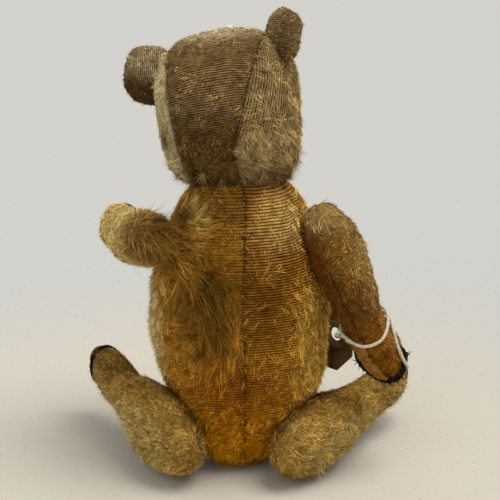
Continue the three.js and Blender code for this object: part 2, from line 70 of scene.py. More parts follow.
# Each station is [y, z, half width, depth on the near side, depth on the far side].
BODY = dict(section=2.2, across=0, stations=[
    [-1, -1.5, 29, 25, 26],
    [-1, 21.5, 33.5, 27, 29],
    [-1, 44.5, 37.8, 30, 35],
    [0, 68, 39, 32, 37],
    [2, 91, 38.6, 34, 34],
    [3, 114.5, 36.5, 34, 30],
    [3, 138, 34, 30, 28],
])
HEAD = dict(section=2.7, across=0, stations=[
    [30, 31, 26, 26, 33],
    [19.5, 32, 30, 29.5, 38],
    [9, 32, 31, 32, 38],
    [-2, 31, 30.3, 32, 38],
    [-13, 28.5, 26.5, 28, 31],
    [-24, 25, 19.5, 17, 18],
    [-35, 23, 16.5, 13.5, 15],
    [-46, 22, 13, 11, 12],
])
ARM = dict(section=2.2, across=9.6, stations=[
    [0, 16.5, 15, 12.8, 12.8],
    [0, -0.5, 14.2, 13.6, 13.2],
    [0, -15, 12, 12.4, 12.2],
    [-0.5, -29.5, 9.8, 10.8, 10.6],
    [-2.5, -44, 9.2, 10, 9.8],
    [-7, -58, 11, 11.6, 11.4],
    [-13, -71, 12, 12, 11.4],
])
LEG = dict(section=2.2, across=11.2, stations=[
    [0, 25, 14, 18, 20],
    [0, 7, 14.8, 20, 22],
    [0, -11, 13.4, 18.5, 18.5],
    [0, -29, 10.8, 14.5, 11.5],
    [0, -47, 9.2, 10.5, 8],
    [-2, -65, 10, 14.5, 8.2],
    [-4, -83, 10.2, 17, 8.4],
])
EAR_FORM = dict(section=2.2, ends=2.4, across=0, stations=[
    [0, -9, 12, 2, 2], [1, 0, 12.6, 2.2, 2.2], [0, 8, 12.8, 2.2, 2.2], [-3, 16, 12, 1.8, 1.8],
])
SOLE_AT = -71
LOWEST_HAIR = 0.05
SOLE_EDGE_BACK = dict(left=0.5, right=6.0)
PAW_PAD = dict(start=-49, slope=0.5)
GUSSET = dict(nose=7, crown=21, nape=9, slew=6)
SWING = dict(arm_left=74, arm_right=7, leg_left=93, leg_right=90)
NECK_TURN = -12
HEAD_LEAN = 5
HEAD_MIDDLE = 31
EAR = dict(radius=dict(left=32, right=34), back=3, cup=0.02, from_top=dict(left=60, right=48),
           droop=dict(left=72, right=18), turn=dict(left=0, right=-48))
EYE = dict(radius=3.4, dome=2.4, along=0.63, around=48)

NAPE_TUFTS = [(10, 8, 26), (19, 5, 10), (3, 4, 6), (-6, 4, 9), (-15, 5, 8)]

SIDES = dict(left=1, right=-1)
HERE = (np.zeros(3), np.eye(3))      # the torso's own place

# Strands of pile: how many, how wide they are drawn, in how many lengths and in what bundles.
# Mohair is about 0.03 mm thick. It is drawn coarser, so that fewer strands cover the cloth.
NAP = dict(
    body=dict(count=62000, width=0.27, segments=1, bundle=6, wild=0.55),
    head=dict(count=56000, width=0.25, segments=1, bundle=6, wild=0.55),
    ear=dict(count=7000, width=0.22, segments=1, bundle=6, wild=0.55),
    arm_left=dict(count=26000, width=0.22, segments=1, bundle=6, wild=0.55),
    arm_right=dict(count=9000, width=0.22, segments=1, bundle=6, wild=0.55),
    leg=dict(count=42000, width=0.26, segments=1, bundle=6, wild=0.55),
)
LOCKS = dict(
    body=dict(count=26000, width=0.24, segments=3, bundle=14, wild=0.3),
    head=dict(count=16000, width=0.22, segments=3, bundle=12, wild=0.35),
    arm_left=dict(count=7000, width=0.2, segments=3, bundle=12, wild=0.4),
    arm_right=dict(count=1800, width=0.2, segments=3, bundle=12, wild=0.4),
    leg=dict(count=9000, width=0.22, segments=3, bundle=12, wild=0.4),
)

TAG = dict(length=70, width=35, thickness=0.8, chamfer=9, hole=3.2, hole_in=10)
TAG_HOLE = np.array([-43.5, -14, 56])
ALONG = np.array([math.sqrt(0.5), -math.sqrt(0.5), 0])
UP = np.array([0, 0, 1.0])
OUT = -np.array([math.sqrt(0.5), math.sqrt(0.5), 0])
TAG_PLACE = (TAG_HOLE, np.stack([ALONG, UP, OUT], 1))
STRING_ON_ARM = [
    [-200, 0.67], [-175, 0.74], [-150, 0.83], [-120, 0.92], [-80, 0.965], [-30, 0.97], [2, 0.95],
    [14, 0.9], [17, 0.84], [12, 0.77], [-2, 0.71], [-35, 0.66], [-80, 0.63], [-130, 0.61],
    [-180, 0.60], [-222, 0.62], [-268, 0.67], [-312, 0.68], [-352, 0.655], [-400, 0.62],
    [-450, 0.59], [-495, 0.57], [-532, 0.562],
]
STRING_TO_TAG = [[-13, 3.5, -6], [-7.5, 1.4, -4.4], [-3, 0.2, -3], [-0.7, 0, -0.8], [0, 0, 1.4]]
STRING = dict(proud=1.35, ply=0.42, offset=0.36, lay=3.6, diameter=1.5)

FLOOR = dict(near="#beb9b0", far="#b3b4b5", radius=4000)
CAMERA = dict(target=(-4, 0, 100), elevation=16, distance=620, lens=101.4, sensor=36)
LIGHTS = [
    dict(name="ceiling_light", place=(-0.5, 0.2, 1.35), softness=38, power=2.45, colour="#fffaf0"),
    dict(name="far_window", place=(0.7, 0.9, 0.8), softness=50, power=0.45, colour="#ffffff"),
]
ROOM = "#d3d2cc"


# ------------------------------------------------------------------- vector sums

def unit(v):
    """Vectors of length one."""
    return v / np.maximum(np.linalg.norm(v, axis=-1, keepdims=True), 1e-9)


def turn_x(degrees):
    a = math.radians(degrees)
    return np.array([[1, 0, 0], [0, math.cos(a), -math.sin(a)], [0, math.sin(a), math.cos(a)]])


def turn_y(degrees):
    a = math.radians(degrees)
    return np.array([[math.cos(a), 0, math.sin(a)], [0, 1, 0], [-math.sin(a), 0, math.cos(a)]])


def turn_z(degrees):
    a = math.radians(degrees)
    return np.array([[math.cos(a), -math.sin(a), 0], [math.sin(a), math.cos(a), 0], [0, 0, 1]])


def smoothstep(low, high, value):
    """0 below low, 1 above high, and a smooth rise between them."""
    t = np.clip((value - low) / (high - low), 0, 1)
    return t * t * (3 - 2 * t)


def blob(points, centre, size):
    """1 at a spot's centre, falling to 0 at about its size, for patches of wear and colour."""
    d = (points - np.array(centre, float)) / np.array(size, float)
    return np.exp(-1.5 * (d ** 2).sum(-1))


def lumps(points, size, seed):
    """Smooth random swellings about size across, from -1 to 1."""
    rng = np.random.default_rng(seed)
    waves = 14
    directions = unit(rng.normal(size=(waves, 3))) * rng.uniform(0.6, 1.5, (waves, 1))
    phase = rng.uniform(0, 2 * math.pi, waves)
    total = np.zeros(points.shape[:-1])
    for k in range(waves):
        total += np.sin(points @ directions[k] * (math.pi / size) + phase[k])
    return total / math.sqrt(waves)


# ------------------------------------------------------------------ stuffed forms

def smooth_line(points, t):
    """The smooth line through some points, t from 0 to 1."""
    points = np.array(points, float)
    n = len(points)
    place = np.clip(np.asarray(t, float), 0, 1) * (n - 1)
    start = np.minimum(place.astype(int), n - 2)
    w = (place - start)[..., None]
    ends = [2 * points[0] - points[1], 2 * points[-1] - points[-2]]
    padded = np.vstack([ends[0], points, ends[1]])
    p0, p1, p2, p3 = (padded[start + k] for k in range(4))
    v0 = (p2 - p0) / 2
    v1 = (p3 - p1) / 2
    cubic = 2 * p1 - 2 * p2 + v0 + v1
    square = -3 * p1 + 3 * p2 - 2 * v0 - v1
    return cubic * w ** 3 + square * w ** 2 + v0 * w + p1


def spine_of(form):
    return [[form["across"], y, z] for y, z, *_ in form["stations"]]


def length_of(points):
    line = smooth_line(points, np.linspace(0, 1, 201))
    return np.linalg.norm(np.diff(line, axis=0), axis=1).sum()


def run_along(path):
    """How far along a path each of its points lies."""
    return np.concatenate([[0], np.cumsum(np.linalg.norm(np.diff(path, axis=0), axis=1))])


def points_at(path, run, at):
    """Points on a path at some distances along it."""
    return np.stack([np.interp(at, run, path[:, k]) for k in range(path.shape[1])], -1)


def signed_power(value, exponent):
    return np.sign(value) * np.abs(value) ** exponent


def on_form(form, s, angle, proud=0.0):
    """Points on a form's skin, or a little proud of it."""
    spine = spine_of(form)
    length = length_of(spine)
    run = -proud / length + (1 + 2 * proud / length) * s
    t = np.clip(run, 0, 1)
    girth = smooth_line([g[2:] for g in form["stations"]], t)
    step = 1e-4
    tangent = unit(smooth_line(spine, t + step) - smooth_line(spine, t - step))
    side = np.array([1.0, 0, 0])
    near = np.cross(tangent, side)
    ends = form.get("ends", 2.5)
    swell = (1 - np.abs(2 * s - 1) ** ends) ** (1 / ends)
    wide = signed_power(np.cos(angle), 2 / form["section"])
    deep = signed_power(np.sin(angle), 2 / form["section"])
    depth = np.where(deep > 0, girth[..., 1], girth[..., 2]) + proud
    return (smooth_line(spine, t) + tangent * ((run - t) * length)[..., None]
            + side * ((girth[..., 0] + proud) * swell * wide)[..., None]
            + near * (depth * swell * deep)[..., None])


def mirrored(form):
    """The right limb's form: the left one's, curling the other way."""
    stations = [[-y, z, half, far, near] for y, z, half, near, far in form["stations"]]
    return dict(form, stations=stations)


def ring_faces(rings, around, closed=False):
    """Quads between neighbouring rings of points. closed joins the last ring to the first."""
    index = np.arange(rings * around).reshape(rings, around)
    if closed:
        index = np.vstack([index, index[:1]])
    nxt = np.roll(index, -1, axis=1)
    return np.stack([index[:-1], nxt[:-1], nxt[1:], index[1:]], -1).reshape(-1, 4)


class Skin:
    """A closed grid of points, with its faces, that a stuffed part's cloth is made from."""

    def __init__(self, form, around, along):
        v = np.arange(1, along)
        s = (1 - np.cos(math.pi * v / along)) / 2
        a = np.linspace(0, 2 * math.pi, around, endpoint=False)
        s_grid, a_grid = np.meshgrid(s, a, indexing="ij")
        self.close(on_form(form, s_grid, a_grid), on_form(form, np.array([0.0, 1.0]), np.zeros(2)))
        self.s = np.concatenate([s_grid.ravel(), [0, 1]])
        self.angle = np.concatenate([a_grid.ravel(), [0, 0]])

    def close(self, rows, poles):
        """Joins rings of points into a closed surface, with a pole at each end."""
        along, around = rows.shape[:2]
        self.points = np.vstack([rows.reshape(-1, 3), poles])
        self.quads = ring_faces(along, around)
        ring = np.arange(around)
        end = ring + (along - 1) * around
        first = np.full(around, along * around)
        self.tris = np.vstack([np.stack([first, np.roll(ring, -1), ring], -1),
                               np.stack([first + 1, end, np.roll(end, -1)], -1)])
        if self.volume() < 0:
            self.quads = self.quads[:, ::-1]
            self.tris = self.tris[:, ::-1]

    def triangles(self):
        q = self.quads
        return np.vstack([q[:, [0, 1, 2]], q[:, [0, 2, 3]], self.tris])

    def volume(self):
        p = self.points[self.triangles()]
        return np.einsum("ij,ij->i", p[:, 0], np.cross(p[:, 1], p[:, 2])).sum()

    def normals(self):
        tri = self.triangles()
        p = self.points[tri]
        face = np.cross(p[:, 1] - p[:, 0], p[:, 2] - p[:, 0])
        total = np.zeros_like(self.points)
        for k in range(3):
            np.add.at(total, tri[:, k], face)
        return unit(total)

    def flatten(self, point, normal):
        """Presses whatever lies beyond a plane back onto it."""
        normal = unit(np.array(normal, float))
        over = np.maximum((self.points - np.array(point, float)) @ normal, 0)
        self.points -= over[:, None] * normal

    def push(self, amount):
        self.points += self.normals() * np.asarray(amount)[..., None]


class Cap(Skin):
    """The end of a form that lies beyond a plane, closed across the plane: a sole or a pad."""

    def __init__(self, form, point, normal, proud, around, along):
        a = np.linspace(0, 2 * math.pi, around, endpoint=False)
        fine = np.linspace(0.4, 1, 1200)
        s_grid, a_grid = np.meshgrid(fine, a, indexing="ij")
        beyond = (on_form(form, s_grid, a_grid, proud) - np.array(point)) @ unit(
            np.array(normal, float)) > 0
        cut = fine[len(fine) - np.argmin(beyond[::-1], axis=0) - 1]
        v = np.sin(np.arange(along) / along * math.pi / 2)[:, None]
        s_grid = cut + (1 - cut) * v
        rows = on_form(form, s_grid, np.broadcast_to(a, s_grid.shape), proud)
        self.rim = rows[0]
        middle = self.rim.mean(0)
        inside = [middle + (self.rim - middle) * part for part in (0.3, 0.6, 0.85)]
        tip = on_form(form, np.array([1.0]), np.zeros(1), proud)
        self.close(np.concatenate([inside, rows]), np.vstack([middle, tip]))


# ------------------------------------------------------------- places in the bear

def joint_frame(name):
    """A joint's centre, and a rotation whose first column points out of the body."""
    joint = next(j for j in frame["joints"] if j["name"] == name)
    centre = np.array(joint["pos_m"]) / MM
    axis = unit(np.array(joint["axis"], float))
    if name != "neck_turn":
        axis = axis * np.sign(axis[0] * centre[0])
    upright = np.array([0, 1.0, 0]) if abs(axis[2]) > 0.9 else np.array([0, 0, 1.0])
    y = unit(np.cross(upright, axis))
    return centre, np.stack([axis, y, np.cross(axis, y)], 1)


def limb_place(limb):
    """The centre and rotation of one of the four limbs, swung to its resting place."""
    part, name = limb.split("_")
    joint = dict(arm="shoulder", leg="hip")[part]
    centre, basis = joint_frame(f"{joint}_{name}_swing")
    return centre, basis @ turn_x(-SIDES[name] * SWING[limb])


def head_place():
    centre, basis = joint_frame("neck_turn")
    upright = np.array([[0, 0, 1.0], [1, 0, 0], [0, 1, 0]])
    return centre, basis @ upright @ turn_z(NECK_TURN)


def to_bear(points, place):
    centre, rotation = place
    return points @ rotation.T + centre


def to_part(points, place):
    centre, rotation = place
    return (points - centre) @ rotation


HEAD_PLACE = head_place()
HEAD_LEANT = (HEAD_PLACE[0], HEAD_PLACE[1] @ turn_y(HEAD_LEAN))


# --------------------------------------------------------------------- materials

def linear(hex_colour):
    """An sRGB hex colour as linear red, green, blue and 1."""
    parts = [int(hex_colour[i:i + 2], 16) / 255 for i in (1, 3, 5)]
    return tuple(c / 12.92 if c <= 0.04045 else ((c + 0.055) / 1.055) ** 2.4 for c in parts) + (1,)


def add(tree, kind, inputs=None, **settings):
    """Adds a node with its settings, and links or sets its inputs."""
    new = tree.nodes.new(kind)
    for key, value in settings.items():
        setattr(new, key, value)
    for key, value in (inputs or {}).items():
        if isinstance(value, bpy.types.NodeSocket):
            tree.links.new(value, new.inputs[key])
        else:
            new.inputs[key].default_value = value
    return new


def finish_material(name, build, roughness, specular=0.5, metallic=0.0):
    """A material whose colour and bump come from build(tree)."""
    made = bpy.data.materials.new(name)
    made.use_nodes = True
    tree = made.node_tree
    tree.nodes.clear()
    colour, bump = build(tree)
    inputs = {"Base Color": colour, "Roughness": roughness, "Specular IOR Level": specular,
              "Metallic": metallic}
    if bump is not None:
        inputs["Normal"] = bump
    surface = add(tree, "ShaderNodeBsdfPrincipled", inputs)
    add(tree, "ShaderNodeOutputMaterial", {"Surface": surface.outputs[0]})
    return made


def per_metre(size_mm):
    """The scale that makes a texture's features about this big."""
    return 1 / (size_mm * MM)


def noise(tree, place, scale, detail):
    return add(tree, "ShaderNodeTexNoise", {
        "Vector": place, "Scale": scale, "Detail": detail}).outputs["Fac"]


def grain(tree, size_mm, detail=2.0, stretch=(1, 1, 1)):
    """Random light and dark of one size, from 0 to 1."""
    place = add(tree, "ShaderNodeTexCoord").outputs["Object"]
    mapped = add(tree, "ShaderNodeMapping", {"Vector": place, "Scale": stretch}).outputs[0]
    return noise(tree, mapped, per_metre(size_mm), detail)


def attribute(tree, name, output="Fac"):
    return add(tree, "ShaderNodeAttribute", attribute_name=name).outputs[output]


def maths(tree, operation, *values, clamp=False):
    return add(tree, "ShaderNodeMath", dict(enumerate(values)), operation=operation,
               use_clamp=clamp).outputs[0]


def ramp(tree, value, low, high, to_low=0.0, to_high=1.0):
    """A value carried from one range to another, and held at its ends."""
    return add(tree, "ShaderNodeMapRange", {
        "Value": value, "From Min": low, "From Max": high,
        "To Min": to_low, "To Max": to_high}).outputs[0]


def blend(tree, share, first, second, **settings):
    """A colour between two others."""
    return add(tree, "ShaderNodeMix", {0: share, 6: first, 7: second}, data_type="RGBA",
               **settings).outputs[2]


def scaled(tree, colour, amount):
    """A colour made lighter or darker."""
    return add(tree, "ShaderNodeVectorMath", {0: colour, "Scale": amount},
               operation="SCALE").outputs[0]


def raised(tree, height, depth_mm, strength):
    return add(tree, "ShaderNodeBump", {
        "Strength": strength, "Distance": depth_mm * MM, "Height": height}).outputs[0]


def waves(tree, name, spacing, wobble, offset=None):
    """Ridges one spacing apart along a millimetre attribute, from 0 to 1."""
    angle = maths(tree, "MULTIPLY_ADD", attribute(tree, name), 2 * math.pi / spacing, wobble)
    if offset is not None:
        angle = maths(tree, "ADD", angle, offset)
    return maths(tree, "MULTIPLY_ADD", maths(tree, "SINE", angle), 0.5, 0.5)


def backing_cloth(name, rib, knot, gap, depth):
    """Woven cotton backing of mohair plush, bared by wear.

    It gives rows of small dull knots with dark gaps between the rows, at the cloth's own spacing.
    Where pile is left the rows fade under it.
    """
    def build(tree):
        drift = maths(tree, "MULTIPLY", grain(tree, 7.0), 2.6)
        rows = waves(tree, "rows", rib, drift)
        stagger = maths(tree, "MULTIPLY_ADD", attribute(tree, "rows"), math.pi / rib,
                        grain(tree, 1.4))
        knots = waves(tree, "columns", knot, drift, stagger)
        weave = maths(tree, "MULTIPLY", rows, maths(tree, "MULTIPLY_ADD", knots, 0.62, 0.38))
        fluff = ramp(tree, grain(tree, 0.45, 3.0), 0.3, 0.7, 0.25, 1.0)
        shown = add(tree, "ShaderNodeMix", {0: attribute(tree, "bare"), 2: fluff, 3: weave},
                    data_type="FLOAT").outputs[0]
        # Streaks along the ribs, where a run of yarn has lost its fluff or kept it.
        flat = add(tree, "ShaderNodeCombineXYZ", {
            "X": attribute(tree, "columns"), "Y": attribute(tree, "rows")})
        drawn = add(tree, "ShaderNodeMapping", {"Vector": flat.outputs[0], "Scale": (0.3, 1, 1)})
        streak = ramp(tree, noise(tree, drawn.outputs[0], 0.9, 3.0), 0.35, 0.65, 0.55, 1.5)
        shown = maths(tree, "MULTIPLY", shown, streak, clamp=True)
        # Worn yarn lets more or less of the dark gap through from place to place.
        worn = ramp(tree, grain(tree, 3.2, 4.0), 0.35, 0.7, 0.65, 1.4)
        light = maths(tree, "MULTIPLY", shown, worn, clamp=True)
        speck = ramp(tree, grain(tree, 0.8, 3.0), 0.56, 0.68, 1.0, 0.45)
        dye = attribute(tree, "dye", "Color")
        dark = blend(tree, 1.0, dye, linear(gap), blend_type="MULTIPLY")
        return scaled(tree, blend(tree, light, dark, dye), speck), raised(tree, shown, depth, 1.0)
    return finish_material(name, build, 1.0, specular=0.0)


def pile_material():
    """Mohair pile: fine goat-hair fibres, dull, and a little lighter or darker along a lock."""
    def build(tree):
        shade = ramp(tree, grain(tree, 1.2), 0.3, 0.7, 0.72, 1.15)
        return scaled(tree, attribute(tree, "dye", "Color"), shade), None
    return finish_material("mohair_pile", build, 0.8, specular=0.08)


def thread_material(name, dark, light, size_mm, roughness=0.9):
    """Spun thread or yarn: small light and dark fibres and no shine."""
    def build(tree):
        fibre = grain(tree, size_mm, 3.0)
        colour = blend(tree, ramp(tree, fibre, 0.35, 0.65), linear(dark), linear(light))
        return colour, raised(tree, fibre, 0.15, 0.7)
    return finish_material(name, build, roughness, specular=0.1)


def felt_material(name, dark, light):
    """Pressed wool felt, soiled by handling: a mottled surface with no threads in it."""
    def build(tree):
        mottle = ramp(tree, grain(tree, 2.5, 5.0), 0.3, 0.7)
        colour = blend(tree, mottle, linear(dark), linear(light))
        return colour, raised(tree, grain(tree, 0.5, 3.0), 0.2, 0.6)
    return finish_material(name, build, 0.95, specular=0.0)


def card_material(name, dark, light):
    """Pressed pulp card, handled and soiled: cloudy stains, fine fibre and a dull face."""
    def build(tree):
        cloud = ramp(tree, grain(tree, 14.0, 4.0), 0.35, 0.65)
        colour = blend(tree, cloud, linear(dark), linear(light))
        scuff = ramp(tree, grain(tree, 1.1, 4.0, (1, 1, 5)), 0.62, 0.75, 1.0, 1.5)
        return scaled(tree, colour, scuff), raised(tree, grain(tree, 0.7, 3.0), 0.1, 0.35)
    return finish_material(name, build, 0.8, specular=0.25)


def steel_material():
    """Plain steel wire and washers, dulled and spotted with rust."""
    def build(tree):
        rust = ramp(tree, grain(tree, 1.5, 4.0), 0.5, 0.62)
        return blend(tree, rust, linear("#8b8983"), linear("#6b4326")), None
    return finish_material("rusted_steel", build, 0.5, metallic=0.85)


def button_material():
    """Polished black boot button: a deep gloss with fine scratches."""
    def build(tree):
        wear = ramp(tree, grain(tree, 0.8, 4.0), 0.45, 0.7)
        colour = blend(tree, wear, linear("#0b0908"), linear("#1f1a17"))
        return colour, raised(tree, grain(tree, 0.3), 0.05, 0.15)
    return finish_material("boot_button_gloss", build, 0.22)


GOLD_BACKING = backing_cloth("gold_mohair_backing", RIB, KNOT, "#6c4824", 0.4)
TAUPE_BACKING = backing_cloth("taupe_mohair_backing", RIB, KNOT, "#4a3220", 0.4)
LINEN_BACKING = backing_cloth("straw_mohair_backing", FINE_RIB, 0.8, "#8c6842", 0.3)
PILE = pile_material()
BLACK_WOOL = thread_material("black_repair_wool", "#080808", "#24211d", 0.5)
BROWN_THREAD = thread_material("brown_seam_thread", "#241303", "#4a2c10", 0.6)
STRAW_YARN = thread_material("straw_mohair_tuft", "#7c6430", "#c4ab6c", 0.6)
COTTON = thread_material("twisted_cotton_string", "#a3957c", "#e4dccb", 0.5)
SOLE_FELT = felt_material("soiled_wool_felt", "#4f3b1e", "#7f6840")
PAD_FELT = felt_material("tan_wool_felt", "#6e4a20", "#a07234")
TAG_CARD = card_material("soiled_tag_card", "#45300f", "#7d6440")
DISC_CARD = card_material("joint_disc_card", "#5e4d36", "#8d7a5c")
STEEL = steel_material()
BUTTON = button_material()
WOOD_WOOL = thread_material("wood_wool", "#8a6c3c", "#cdb27c", 1.2)


# ------------------------------------------------------------------- mesh pieces

def piece(name, body, points, faces, material, fields=None):
    """A piece in the bear's frame, riding on one of its bodies."""
    mesh = bpy.data.meshes.new(name)
    faces = [np.asarray(f, np.int32) for f in faces if len(f)]
    loops = np.concatenate([f.ravel() for f in faces])
    corners = np.concatenate([np.full(len(f), f.shape[1]) for f in faces])
    starts = np.concatenate([[0], np.cumsum(corners)[:-1]]).astype(np.int32)
    mesh.vertices.add(len(points))
    mesh.vertices.foreach_set("co", (points * MM).astype(np.float32).ravel())
    mesh.loops.add(len(loops))
    mesh.loops.foreach_set("vertex_index", loops)
    mesh.polygons.add(len(corners))
    mesh.polygons.foreach_set("loop_start", starts)
    mesh.polygons.foreach_set("use_smooth", np.ones(len(corners), bool))
    for key, values in (fields or {}).items():
        if values.ndim == 2:
            layer = mesh.attributes.new(key, "FLOAT_COLOR", "POINT")
            rgba = np.hstack([values, np.ones((len(values), 1))])
            layer.data.foreach_set("color", rgba.astype(np.float32).ravel())
        else:
            layer = mesh.attributes.new(key, "FLOAT", "POINT")
            layer.data.foreach_set("value", values.astype(np.float32))
    mesh.update(calc_edges=True)
    mesh.validate()
    mesh.materials.append(material)
    made = bpy.data.objects.new(name, mesh)
    bpy.context.scene.collection.objects.link(made)
    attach(made, body)
    return made


def sideways(path):
    """Two directions square to a path at each of its points, carried along without twist."""
    tangent = unit(np.gradient(path, axis=0))
    across = np.zeros_like(path)
    guide = np.array([0, 0, 1.0]) if abs(tangent[0, 2]) < 0.9 else np.array([1.0, 0, 0])
    for i, t in enumerate(tangent):
        guide = unit(guide - (guide @ t) * t)
        across[i] = guide
    return across, np.cross(tangent, across)


def tube(path, radius, sides=6):
    """A round rod along a path, closed at both ends. radius may change along it."""
    path = np.asarray(path, float)
    radius = np.broadcast_to(radius, len(path))
    across, other = sideways(path)
    a = np.linspace(0, 2 * math.pi, sides, endpoint=False)
    ring = (across[:, None] * np.cos(a)[None, :, None] + other[:, None] * np.sin(a)[None, :, None])
    points = (path[:, None] + ring * radius[:, None, None]).reshape(-1, 3)
    end = np.arange(sides)
    caps = np.vstack([end[::-1], end + len(points) - sides])
    return points, ring_faces(len(path), sides), caps


def threads(name, body, strands, material, sides=6):
    """Several lengths of thread as one piece. strands is a list of (path, radius)."""
    points, quads, caps, total = [], [], [], 0
    for path, radius in strands:
        p, q, c = tube(path, radius, sides)
        points.append(p)
        quads.append(q + total)
        caps.append(c + total)
        total += len(p)
    return piece(name, body, np.vstack(points), [np.vstack(quads), np.vstack(caps)], material)


def placed(strands, place):
    return [(to_bear(path, place), radius) for path, radius in strands]


def arc_line(points, steps):
    """An even, smooth line through some points."""
    line = smooth_line(points, np.linspace(0, 1, steps * 4))
    run = run_along(line)
    return points_at(line, run, np.linspace(0, run[-1], steps))


# --------------------------------------------------------------------------- pile

def scatter(skin, wanted, count, rng):
    """Places for strands: where wanted is high there are more. Returns triangles and weights."""
    tri = skin.triangles()
    p = skin.points[tri]
    area = np.linalg.norm(np.cross(p[:, 1] - p[:, 0], p[:, 2] - p[:, 0]), axis=1)
    chance = area * wanted[tri].mean(1)
    chosen = tri[rng.choice(len(tri), count, p=chance / chance.sum())]
    a, b = rng.uniform(size=(2, count))
    flip = a + b > 1
    a, b = np.where(flip, 1 - a, a), np.where(flip, 1 - b, b)
    return chosen, np.stack([1 - a - b, a, b], -1)


def spread(values, chosen, weights):
    """A vertex field read at scattered places."""
    if values.ndim == 1:
        return (values[chosen] * weights).sum(1)
    return (values[chosen] * weights[..., None]).sum(1)


def gathered(root, bundles, rng):
    """The index of the strand that leads each strand's bundle."""
    leaders = rng.choice(len(root), bundles, replace=False)
    tree = kdtree.KDTree(bundles)
    for k, place in enumerate(root[leaders]):
        tree.insert(place, k)
    tree.balance()
    return leaders[[tree.find(place)[1] for place in root]]


def pile(name, body, skin, place, looks, layer, strands, seed):
    """Strands of mohair over a skin, as fine tapered blades drawn together in bundles."""
    rng = np.random.default_rng(seed)
    count = strands["count"]
    segments = strands["segments"]
    chosen, weights = scatter(skin, looks[layer], count, rng)
    root = spread(skin.points, chosen, weights)
    normal = unit(spread(skin.normals(), chosen, weights))
    comb = spread(looks["comb"], chosen, weights) + rng.normal(size=(count, 3)) * strands["wild"]
    leader = gathered(root, count // strands["bundle"], rng)
    comb = 0.65 * comb[leader] + 0.35 * comb
    comb = unit(comb - (comb * normal).sum(1, keepdims=True) * normal)
    rise = spread(looks[f"{layer}_lift"], chosen, weights)
    rise = np.clip(rise + rng.normal(size=count)[leader] * 0.15 + rng.normal(size=count) * 0.1,
                   0.05, 1.0)
    length = spread(looks[f"{layer}_length"], chosen, weights) * rng.uniform(0.5, 1.25, count)
    curl = rng.normal(size=(count, 3)) * 0.2 + (rng.normal(size=(count, 3)) * 0.3)[leader]
    t = np.linspace(0, 1, segments + 1)
    # A strand leaves the cloth at its own lift and then lies over along the comb.
    up = (rise[:, None] * (t - 0.42 * t ** 2)[None])[..., None]
    along = (np.sqrt(1 - 0.8 * rise ** 2)[:, None] * (t ** 1.15)[None])[..., None]
    bend = (t ** 2)[None, :, None] * curl[:, None]
    line = root[:, None] + length[:, None, None] * (
        up * normal[:, None] + along * comb[:, None] + bend * 0.6)
    line += 0.6 * (t ** 1.5)[None, :, None] * (root[leader] - root)[:, None]
    line -= normal[:, None] * 0.12 * (1 - t)[None, :, None]
    blade = unit(np.cross(comb, normal) + rng.normal(size=(count, 3)) * 0.5)
    half = strands["width"] / 2 * rng.uniform(0.7, 1.4, count)[:, None] * (1 - 0.55 * t[:-1])[None]
    left = line[:, :-1] - blade[:, None] * half[..., None]
    right = line[:, :-1] + blade[:, None] * half[..., None]
    per = 2 * segments + 1
    points = np.concatenate([np.stack([left, right], 2).reshape(count, -1, 3), line[:, -1:]], 1)
    base = (np.arange(count) * per)[:, None]
    quads = [base + np.array([2 * k, 2 * k + 1, 2 * k + 3, 2 * k + 2]) for k in range(segments - 1)]
    tips = base + np.array([2 * segments - 2, 2 * segments - 1, 2 * segments])
    # Some bundles are bleached and some are soiled, and a few hairs in each are painted lighter as a
    # painted highlight.
    tone = rng.uniform(0.4, 1.5, count)[leader] * rng.uniform(0.6, 1.3, count)
    tone = np.where(rng.uniform(size=count) < 0.2, tone * 1.5, tone)
    dye = spread(looks["pile_dye_and_painted_light"], chosen, weights) * tone[:, None]
    dye = dye * (1 + rng.normal(size=(count, 3)) * 0.04)
    # Painted shade: each strand is painted darker towards its root, down in the pile.
    shade = np.concatenate([np.repeat(0.5 + 0.5 * t[:-1], 2), [1.0]])
    dye = np.clip(dye[:, None] * shade[None, :, None], 0, 1)
    faces = [np.vstack(quads)] if quads else []
    points = to_bear(points.reshape(-1, 3), place)
    # Strands under the bear are pressed flat by what it sits on.
    points[:, 2] = np.maximum(points[:, 2], LOWEST_HAIR)
    return piece(name, body, points, faces + [tips], PILE, dict(dye=dye.reshape(-1, 3)))


def fur(name, body, skin, place, looks, kind, seed):
    """Short nap over a whole skin, and longer locks where its kind has any."""
    pile(f"{name}_nap", body, skin, place, looks, "nap", NAP[kind], seed)
    if kind in LOCKS:
        pile(f"{name}_locks", body, skin, place, looks, "lock", LOCKS[kind], seed + 1)


# ---------------------------------------------------------------- looks of a cloth

def tint(base, hex_colour, amount):
    """Mixes a colour into a colour field."""
    amount = np.clip(amount, 0, 1)[:, None]
    return base * (1 - amount) + np.array(linear(hex_colour)[:3]) * amount


def plain(count, hex_colour):
    return np.tile(np.array(linear(hex_colour)[:3]), (count, 1))


# What years of dust and handling leave of a clean dye's red, green and blue.
SOILED_GOLD = np.array([0.76, 0.68, 0.42])
SOILED_TAUPE = np.array([0.82, 0.80, 0.74])
SOILED_LIMB = np.array([0.76, 0.70, 0.50])


def soil(dye, share):
    return np.clip(dye, 0, 1.6) * share


def cloth(name, body, skin, place, looks, material, nodes):
    """The cloth skin of a stuffed part, in place of its plain CAD pieces."""
    fields = dict(dye=looks["dye"], bare=looks["bare"], rows=looks["rows"],
                  columns=looks["columns"])
    made = piece(name, body, to_bear(skin.points, place), [skin.quads, skin.tris], material,
                 fields)
    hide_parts(*nodes)
    return made


